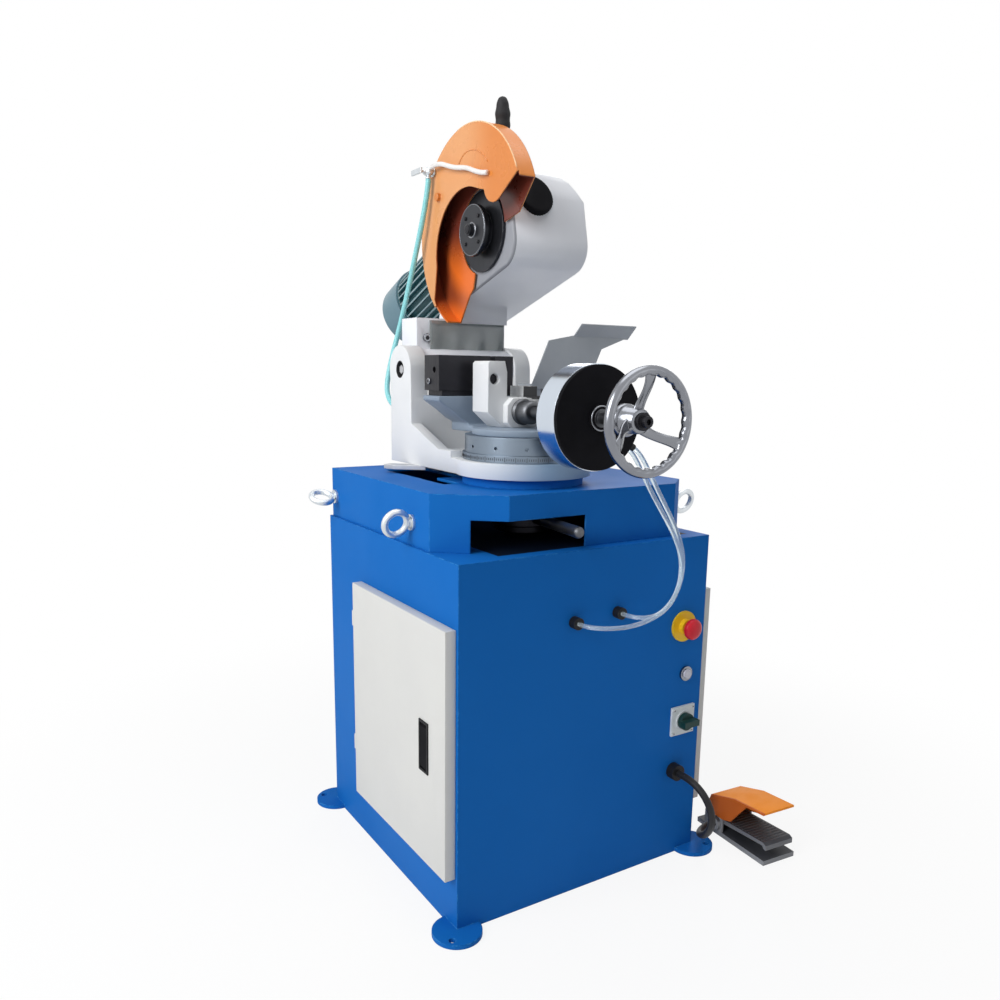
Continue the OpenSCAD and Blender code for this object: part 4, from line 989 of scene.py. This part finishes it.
GRIP_LINE = GRIP_TOP - GRIP_START
GRIP_SHARES = [k / GRIP_ROWS for k in range(GRIP_ROWS + 1)]
GRIP_PROFILE = [(share * GRIP_LINE.length, grip_radius(share)) for share in GRIP_SHARES]
turned("waved_grip", [(GRIP_FOOT, GRIP_START - GRIP_FOOT, BAR_PROFILE, BAR_STEPS),
                      (GRIP_START, GRIP_LINE, GRIP_PROFILE, GRIP_STEPS)],
       GRIP_RUBBER, "head", ["handle"])


# Coolant nozzle, and a slim plug tap: a barrel, a boss on the guard, a hose stub and a key

NOZZLE_ROUTE = [(-82, 184, 1346), (-83, 150, 1349), (-81, 118, 1338), (-79, 84, 1328), (-79, 50, 1324),
                (-80, 14, 1310), (-78, -8, 1304), (-75, -20, 1303)]
NOZZLE_RADIUS, NOZZLE_SIDES = 0.0045, 16
bent_bar("bent_nozzle", spline(route(NOZZLE_ROUTE)), NOZZLE_RADIUS, NOZZLE_SIDES, NOZZLE_WHITE,
         ["nozzle"])

TAP_CENTRE = middle("tap")
TAP_LOW, TAP_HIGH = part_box("tap")
TAP_BACK = Vector((TAP_CENTRE.x, TAP_LOW.y, TAP_CENTRE.z))
TAP_SEAT = Vector((TAP_HIGH.x, TAP_CENTRE.y, TAP_CENTRE.z))
TAP_BARREL = [(0, 0.004), (0, 0.0062), (0.005, 0.0066), (0.006, 0.0082), (0.019, 0.0082), (0.020, 0.0066),
              (0.026, 0.0058), (0.026, 0.004)]
TAP_BOSS = [(0, 0.009), (0.003, 0.009), (0.004, 0.006), (0.012, 0.006)]
TAP_STUB = [(0, 0.005), (0.011, 0.005), (0.012, 0.0062), (0.014, 0.0056)]
TAP_KEY = [(0, 0.0058), (0.011, 0.0058), (0.012, 0.005)]
turned("plug_tap", [(TAP_BACK, BACK, TAP_BARREL, BAR_STEPS), (TAP_SEAT, LEFT, TAP_BOSS, BAR_STEPS),
                    (TAP_CENTRE, DOWN, TAP_STUB, BAR_STEPS), (TAP_CENTRE, LEFT, TAP_KEY, BAR_STEPS)],
       GALVANISED, "head", ["tap"])


# Bright collar round the drum's centre boss, and the knurled knob on the casting's nose

RING_SINK, RING_STEPS = 0.0035, 64
RING_FOOT = Vector((SCREW_X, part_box("drum_cap")[0].y + RING_SINK, SCREW_Z))
RING_PROFILE = [(0, 0.0206), (0, 0.0214), (0.003, 0.0214), (0.0040, 0.0208), (0.0040, 0.0192),
                (0.0034, 0.0188)]
turned("boss_ring", [(RING_FOOT, FRONT, RING_PROFILE, RING_STEPS)], CHROME, "base")

KNOB_TURN = math.radians(26)
KNOB_DIRECTION = Vector((0, -math.cos(KNOB_TURN), math.sin(KNOB_TURN)))
KNOB_HALF_HEIGHT, KNOB_STEPS = 0.013, 120
KNOB_FOOT = middle("nose_cap") - KNOB_DIRECTION * KNOB_HALF_HEIGHT
KNOB_PROFILE = [(0, 0.037), (0, 0.0385), (0.003, 0.0390), (0.0235, 0.0390), (0.0256, 0.0375),
                (0.0262, 0.0345), (0.0258, 0.030), (0.0250, 0.012), (0.0250, 0.001)]
KNOB_KNURL = knurl(depth=0.0005, count=40, rows=(2, 3))
turned("nose_knob", [(KNOB_FOOT, KNOB_DIRECTION, KNOB_PROFILE, KNOB_STEPS, KNOB_KNURL)],
       CAP_BLACK, "head", ["nose_cap"])


# Raised bead on the guard's plate, as (y, z) in millimetres

BEAD_ROUTE = [(92, 1338), (80, 1350), (62, 1356), (36, 1354), (10, 1344), (-13, 1324)]
BEAD_RADIUS = 0.0014
bent_bar("guard_bead", spline([Vector((GUARD_FACE, y * MM, z * MM)) for y, z in BEAD_ROUTE]), BEAD_RADIUS,
         TRIM_SIDES, GUARD_ORANGE)


# Limp clear strip that hangs in front of the hinge block

FLAP_LOW, FLAP_HIGH = mm(-92, 171.5, 986), mm(86, 171.5, 1052)
FLAP_THICK, FLAP_WAVE = 0.0012, 0.004
FLAP_COLUMNS, FLAP_ROWS = 40, 6


def flap_point(column, row, depth):
    """A point of the strip, which waves more towards its lower edge."""
    down = row / FLAP_ROWS
    wave = FLAP_WAVE * down * (1 + math.sin(column * 0.55 + 0.8 * down)) / 2
    return (FLAP_LOW.x + (FLAP_HIGH.x - FLAP_LOW.x) * column / FLAP_COLUMNS, FLAP_LOW.y + depth - wave,
            FLAP_HIGH.z + (FLAP_LOW.z - FLAP_HIGH.z) * down)


def make_chip_flap():
    """Two waved sheets with a closed rim between them."""
    shape = bmesh.new()
    rims = []
    for depth in (0.0, FLAP_THICK):
        grid = [[shape.verts.new(flap_point(i, j, depth)) for i in range(FLAP_COLUMNS + 1)]
                for j in range(FLAP_ROWS + 1)]
        for upper, lower in zip(grid, grid[1:]):
            for i in range(FLAP_COLUMNS):
                shape.faces.new((upper[i], upper[i + 1], lower[i + 1], lower[i]))
        rims.append(grid[0] + [row[-1] for row in grid[1:]] + grid[-1][-2::-1]
                    + [row[0] for row in grid[-2:0:-1]])
    skin_between(shape, *rims)
    piece("chip_flap", shape, FLAP_CLEAR, "head")


make_chip_flap()


# Mushroom head of the emergency stop

STOP_LOW, STOP_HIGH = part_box("estop_button")
STOP_FOOT = Vector((middle("estop_button").x, STOP_HIGH.y, middle("estop_button").z))
STOP_HEAD_DEPTH, STOP_STEM_RADIUS, STOP_STEPS = 0.0150, 0.008, 72
STOP_STEM = STOP_HIGH.y - (STOP_LOW.y + STOP_HEAD_DEPTH)
STOP_HEAD = [(0.0005, 0.0185), (0.002, 0.0198), (0.0075, 0.0198), (0.0100, 0.0185), (0.0130, 0.0145),
             (0.0145, 0.008), (0.0148, 0.001)]
STOP_PROFILE = [(0, STOP_STEM_RADIUS), (STOP_STEM, STOP_STEM_RADIUS)]
STOP_PROFILE += [(STOP_STEM + height, radius) for height, radius in STOP_HEAD]
STOP_KNURL = knurl(depth=0.0004, count=24, rows=(3, 4))
turned("stop_mushroom", [(STOP_FOOT, FRONT, STOP_PROFILE, STOP_STEPS, STOP_KNURL)],
       SIGNAL_RED, "estop_button", ["estop_button"])


# Knurled nut on the vise screw, with a chamfered face

NUT_Y, NUT_STEPS = -0.095, 144
NUT_PROFILE = [(0, 0.0115), (0, 0.0235), (0.001, 0.024), (0.006, 0.024), (0.0062, 0.0206), (0.008, 0.0210),
               (0.034, 0.0210), (0.037, 0.0185), (0.039, 0.0165), (0.039, 0.0115)]
NUT_KNURL = knurl(depth=0.0004, count=48, rows=(5, 6))
turned("knurled_nut", [(Vector((SCREW_X, NUT_Y, SCREW_Z)), FRONT, NUT_PROFILE, NUT_STEPS, NUT_KNURL)],
       SCREW_STEEL, "jaw", ["jaw_nut"])


# Repeated fittings, laid out with geometry nodes

def socket_of(tree, label):
    """Identifier of a tree's named input."""
    return next(i.identifier for i in tree.interface.items_tree
                if i.item_type == "SOCKET" and i.in_out == "INPUT" and i.name == label)


def new_layout(name, inputs):
    """An empty geometry node tree with named inputs (name, kind, default)."""
    tree = bpy.data.node_groups.new(name, "GeometryNodeTree")
    tree.interface.new_socket("Geometry", in_out="INPUT", socket_type="NodeSocketGeometry")
    for label, kind, value in inputs:
        socket = tree.interface.new_socket(label, in_out="INPUT", socket_type="NodeSocket" + kind)
        if value is not None:
            socket.default_value = value
    tree.interface.new_socket("Geometry", in_out="OUTPUT", socket_type="NodeSocketGeometry")
    return tree, tree.nodes.new("NodeGroupInput"), tree.nodes.new("NodeGroupOutput")


def run_layout(name, tree, points, values, body):
    """Runs a layout on a mesh of points and keeps the result as a plain mesh on one body."""
    mesh = bpy.data.meshes.new(name + "_points")
    mesh.from_pydata([tuple(p) for p in points], [], [])
    holder = bpy.data.objects.new(name, mesh)
    bpy.context.scene.collection.objects.link(holder)
    modifier = holder.modifiers.new("layout", "NODES")
    modifier.node_group = tree
    for label, value in values.items():
        modifier[socket_of(tree, label)] = value
    bpy.context.view_layer.update()
    result = bpy.data.meshes.new_from_object(holder.evaluated_get(bpy.context.evaluated_depsgraph_get()))
    result.name = name
    holder.modifiers.remove(modifier)
    holder.data = result
    bpy.data.meshes.remove(mesh)
    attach(holder, body)
    return holder


def of_material(tree, geometry, material):
    """Geometry with a material."""
    return add(tree, "GeometryNodeSetMaterial", Geometry=geometry, Material=material).outputs[0]


def realized(tree, points, instance, **inputs):
    """Copies of an instance on points, as real geometry."""
    laid = add(tree, "GeometryNodeInstanceOnPoints", Points=points, Instance=instance, **inputs).outputs[0]
    return add(tree, "GeometryNodeRealizeInstances", Geometry=laid).outputs[0]


def lifted(tree, geometry, height):
    """Geometry moved up."""
    lift = add(tree, "ShaderNodeCombineXYZ", Z=height).outputs[0]
    return add(tree, "GeometryNodeTransform", Geometry=geometry, Translation=lift).outputs[0]


def joined(tree, *parts):
    """Several geometries as one."""
    made = tree.nodes.new("GeometryNodeJoinGeometry")
    for part in parts:
        tree.links.new(part, made.inputs[0])
    return made.outputs[0]


HEAD_SIDES, SOCKET_DEPTH = 32, 0.0006


def screw_layout():
    """Socket-head screws on points, all facing one way: a chamfered head with a dark hexagon."""
    tree, given, result = new_layout("screw_heads", [
        ("Radius", "Float", 0.005), ("Height", "Float", 0.004), ("Facing", "Rotation", None),
        ("Head", "Material", None), ("Socket", "Material", None)])

    def share(name, amount):
        """A share of one of the screw's sizes."""
        return math_node(tree, "MULTIPLY", given.outputs[name], amount)

    head = add(tree, "GeometryNodeMeshCylinder", Vertices=HEAD_SIDES, Radius=given.outputs["Radius"],
               Depth=given.outputs["Height"]).outputs["Mesh"]
    chamfer = add(tree, "GeometryNodeMeshCone", Vertices=HEAD_SIDES, Depth=share("Height", 0.15),
                  Radius_Bottom=given.outputs["Radius"], Radius_Top=share("Radius", 0.86)).outputs["Mesh"]
    metal = joined(tree, head, lifted(tree, chamfer, share("Height", 0.5)))
    hexagon = add(tree, "GeometryNodeMeshCylinder", Vertices=6, Depth=SOCKET_DEPTH,
                  Radius=share("Radius", 0.55)).outputs["Mesh"]
    screw = joined(tree, of_material(tree, metal, given.outputs["Head"]),
                   of_material(tree, lifted(tree, hexagon, share("Height", 0.65)), given.outputs["Socket"]))
    whole = realized(tree, given.outputs["Geometry"], screw, Rotation=given.outputs["Facing"])
    tree.links.new(whole, result.inputs[0])
    return tree


MARK_RELIEF, LONG_MARK_EVERY = 0.0006, 5.0


def tick_layout():
    """Graduations round a band: thin upright bars, every fifth one taller."""
    tree, given, result = new_layout("band_ticks", [
        ("Count", "Int", 90), ("Radius", "Float", 0.1), ("Width", "Float", 0.0008),
        ("Height", "Float", 0.005), ("Long Height", "Float", 0.009), ("Centre", "Vector", (0, 0, 0)),
        ("Mark", "Material", None)])
    count = given.outputs["Count"]
    ring = add(tree, "GeometryNodeMeshCircle", Vertices=count, Radius=given.outputs["Radius"]).outputs["Mesh"]
    index = tree.nodes.new("GeometryNodeInputIndex").outputs[0]
    angle = math_node(tree, "DIVIDE", math_node(tree, "MULTIPLY", index, 2 * math.pi), count)
    facing = tree.nodes.new("FunctionNodeEulerToRotation")
    tree.links.new(add(tree, "ShaderNodeCombineXYZ", Z=angle).outputs[0], facing.inputs[0])
    is_long = math_node(tree, "LESS_THAN", math_node(tree, "MODULO", index, LONG_MARK_EVERY), 0.5)
    extra = math_node(tree, "SUBTRACT", given.outputs["Long Height"], given.outputs["Height"])
    tall = math_node(tree, "MULTIPLY_ADD", is_long, extra, given.outputs["Height"])
    size = add(tree, "ShaderNodeCombineXYZ", X=MARK_RELIEF, Y=given.outputs["Width"], Z=tall).outputs[0]
    bar = add(tree, "GeometryNodeMeshCube").outputs["Mesh"]
    whole = realized(tree, ring, bar, Rotation=facing.outputs[0], Scale=size)
    moved = add(tree, "GeometryNodeTransform", Geometry=whole, Translation=given.outputs["Centre"]).outputs[0]
    tree.links.new(of_material(tree, moved, given.outputs["Mark"]), result.inputs[0])
    return tree


def bar_layout():
    """Small straight bars of one size on points, all turned alike."""
    tree, given, result = new_layout("bar_row", [
        ("Size", "Vector", (0.01, 0.01, 0.01)), ("Facing", "Rotation", None), ("Finish", "Material", None)])
    bar = add(tree, "GeometryNodeMeshCube").outputs["Mesh"]
    whole = realized(tree, given.outputs["Geometry"], bar, Rotation=given.outputs["Facing"],
                     Scale=given.outputs["Size"])
    tree.links.new(of_material(tree, whole, given.outputs["Finish"]), result.inputs[0])
    return tree


SCREW_HEADS = screw_layout()
BAND_TICKS = tick_layout()
BAR_ROW = bar_layout()
TO_FRONT = (math.pi / 2, 0, 0)
TO_LEFT = (0, -math.pi / 2, 0)
TO_RIGHT = (0, math.pi / 2, 0)
CORNERS = [(i, k) for i in (-1, 1) for k in (-1, 1)]


def screws(name, points, body, facing, radius, height, head=MACHINED_STEEL):
    """Socket-head screws on points of one body."""
    values = {"Radius": radius, "Height": height, "Facing": facing, "Head": head, "Socket": BLACK_OXIDE}
    return run_layout(name, SCREW_HEADS, points, values, body)


# Screws in the head, the jaws, the clamp flange, the switch plate and the terminal box

HINGE_BOLT_AT = mm(-97.7, 173.5, 1017)
JAW_SIDE_AT = mm(-163.5, 38, 932)
JAW_PLATE_AT = mm(-91, -68, 938)
CLAMP_SCREW_X, CLAMP_SCREW_CIRCLE, CLAMP_SCREW_COUNT = -0.0605, 0.033, 4
ARBOR_BOLT_AT = Vector((-0.0703, SPINDLE_Y, SPINDLE_Z))
PLATE_MIDDLE, PLATE_CORNER = mm(229, -280.5, 285), 24 * MM
LID_SINK = 0.0003
LID_MIDDLE = MOTOR_POINT + ALONG_MOTOR * (middle("terminal_box") - MOTOR_POINT).dot(ALONG_MOTOR)
LID_MIDDLE.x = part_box("terminal_box")[1].x - LID_SINK
LID_ALONG, LID_ACROSS = ALONG_MOTOR * 0.037, ACROSS_MOTOR * 0.032


def clamp_screw(angle):
    """A screw's place on the clamp flange, half-way between the upright and the level."""
    turn = angle + math.pi / 4
    return Vector((CLAMP_SCREW_X, SPINDLE_Y + CLAMP_SCREW_CIRCLE * math.cos(turn),
                   SPINDLE_Z + CLAMP_SCREW_CIRCLE * math.sin(turn)))


CLAMP_PLACES = [clamp_screw(angle) for angle in full_turn(CLAMP_SCREW_COUNT)]
PLATE_PLACES = [PLATE_MIDDLE + PLATE_CORNER * Vector((i, 0, k)) for i, k in CORNERS]
LID_PLACES = [LID_MIDDLE + LID_ALONG * i + LID_ACROSS * k for i, k in CORNERS]
screws("hinge_block_bolt", [HINGE_BOLT_AT], "head", TO_FRONT, radius=0.0085, height=0.005,
       head=CHROME)
screws("jaw_side_screw", [JAW_SIDE_AT], "base", TO_LEFT, radius=0.006, height=0.004,
       head=CHROME)
# Painted shade: a wide black screw head fills the jaw's hole and stands in for its dark inside.
screws("jaw_hole_shade_screw", [JAW_PLATE_AT], "jaw", TO_FRONT, radius=0.0095, height=0.005,
       head=BLACK_OXIDE)
screws("clamp_flange_screws", CLAMP_PLACES, "spindle", TO_LEFT, radius=0.0036, height=0.003,
       head=BLACK_OXIDE)
screws("arbor_bolt_socket", [ARBOR_BOLT_AT], "spindle", TO_LEFT, radius=0.0085, height=0.002,
       head=BLACK_OXIDE)
screws("switch_plate_screws", PLATE_PLACES, "base", TO_FRONT, radius=0.0025, height=0.0016)
screws("terminal_box_screws", LID_PLACES, "head", TO_RIGHT, radius=0.0035, height=0.0022)


# Marks round the scale band, and ribs across the sloping pedal plate

MARK_PROUD = 0.0001
SCALE_MARKS = {
    "Count": 180, "Radius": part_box("scale_band")[1].x - TABLE_X + MARK_PROUD, "Width": 0.0008,
    "Height": 0.004, "Long Height": 0.008, "Centre": tuple(middle("scale_band")), "Mark": BLACK_OXIDE}
run_layout("scale_marks", BAND_TICKS, [(0, 0, 0)], SCALE_MARKS, "base")

RIB_COUNT, RIB_STEP = 14, 9
RIB_START, RIB_HEIGHT, PLATE_SLOPE = -80, 43.8, 0.0576
RIB_POINTS = [pedal_point(0, RIB_START + RIB_STEP * k, RIB_HEIGHT - PLATE_SLOPE * RIB_STEP * k)
              for k in range(RIB_COUNT)]
TREAD_RIBS = {"Size": (0.064, 0.0032, 0.0014), "Facing": (0, 0, PEDAL_TURN), "Finish": PEDAL_DARK}
run_layout("tread_ribs", BAR_ROW, RIB_POINTS, TREAD_RIBS, "pedal_plate")


# Stage

FLOOR_RADIUS, FLOOR_DROP = 8, 0.0005
FLOOR_FADE_START, FLOOR_FADE_END, FLOOR_GLOW = 0.5, 1.6, 0.87
FLOOR_COLOUR, BACKDROP_COLOUR, STUDIO_COLOUR = (0.92, 0.92, 0.92), (1, 1, 1), (0.94, 0.97, 1.0)
STUDIO_STRENGTH = 0.21


def pale_background(tree):
    """1 for the rays that see the background: camera, glossy and transmission rays."""
    rays = tree.nodes.new("ShaderNodeLightPath")
    seen = math_node(tree, "MAXIMUM", rays.outputs["Is Camera Ray"], rays.outputs["Is Glossy Ray"])
    return math_node(tree, "MAXIMUM", seen, rays.outputs["Is Transmission Ray"])


def mix_shaders(tree, amount, first, second, output):
    """Two shaders, mixed into a tree's output."""
    blend = tree.nodes.new("ShaderNodeMixShader")
    feed_all(tree, blend.inputs, (amount, first.outputs[0], second.outputs[0]))
    tree.links.new(blend.outputs[0], output.inputs[0])


def make_floor():
    """White floor that keeps the soft shadow near the machine and fades into the backdrop."""
    bpy.ops.mesh.primitive_circle_add(vertices=96, radius=FLOOR_RADIUS, fill_type="NGON",
                                      location=(0, 0, -FLOOR_DROP))
    floor = bpy.context.object
    floor.name = "floor"
    material, tree, shader = new_material("floor_white")
    wire(tree, shader, Base_Color=rgba(FLOOR_COLOUR), Roughness=0.9, Specular_IOR_Level=0.1)
    far = vector_node(tree, "LENGTH", place(tree))
    fade = smooth_step(tree, far, FLOOR_FADE_START, FLOOR_FADE_END, FLOOR_GLOW, 1.0)
    glow = add(tree, "ShaderNodeEmission", Color=rgba(BACKDROP_COLOUR), Strength=1.0)
    amount = math_node(tree, "MULTIPLY", fade, pale_background(tree))
    output = next(n for n in tree.nodes if n.type == "OUTPUT_MATERIAL")
    mix_shaders(tree, amount, shader, glow, output)
    floor.data.materials.append(material)


def make_world():
    """Dim even light from all sides, in front of a white backdrop."""
    world = bpy.data.worlds.new("studio")
    bpy.context.scene.world = world
    world.use_nodes = True
    tree = world.node_tree
    tree.nodes.clear()
    light = add(tree, "ShaderNodeBackground", Color=rgba(STUDIO_COLOUR), Strength=STUDIO_STRENGTH)
    backdrop = add(tree, "ShaderNodeBackground", Color=rgba(BACKDROP_COLOUR), Strength=1.0)
    mix_shaders(tree, pale_background(tree), light, backdrop, tree.nodes.new("ShaderNodeOutputWorld"))


def soft_lamp(name, at, towards, size, power):
    """A round area lamp that faces a point."""
    data = bpy.data.lights.new(name, "AREA")
    data.shape, data.size, data.energy = "DISK", size, power
    lamp = bpy.data.objects.new(name, data)
    bpy.context.scene.collection.objects.link(lamp)
    lamp.location = at
    lamp.rotation_mode = "QUATERNION"
    lamp.rotation_quaternion = (Vector(towards) - Vector(at)).to_track_quat("-Z", "Y")


make_floor()
make_world()
soft_lamp("key_left", at=(-3.0, -0.5, 2.3), towards=(0, 0, 0.75), size=2.4, power=96)
soft_lamp("top_soft", at=(0.2, -0.2, 3.6), towards=(0, 0, 0.8), size=2.6, power=32)
soft_lamp("front_fill", at=(1.6, -3.4, 1.6), towards=(0, 0, 0.8), size=2.0, power=5)
soft_lamp("back_fill", at=(2.6, 2.4, 2.0), towards=(0, 0, 0.8), size=2.0, power=22)
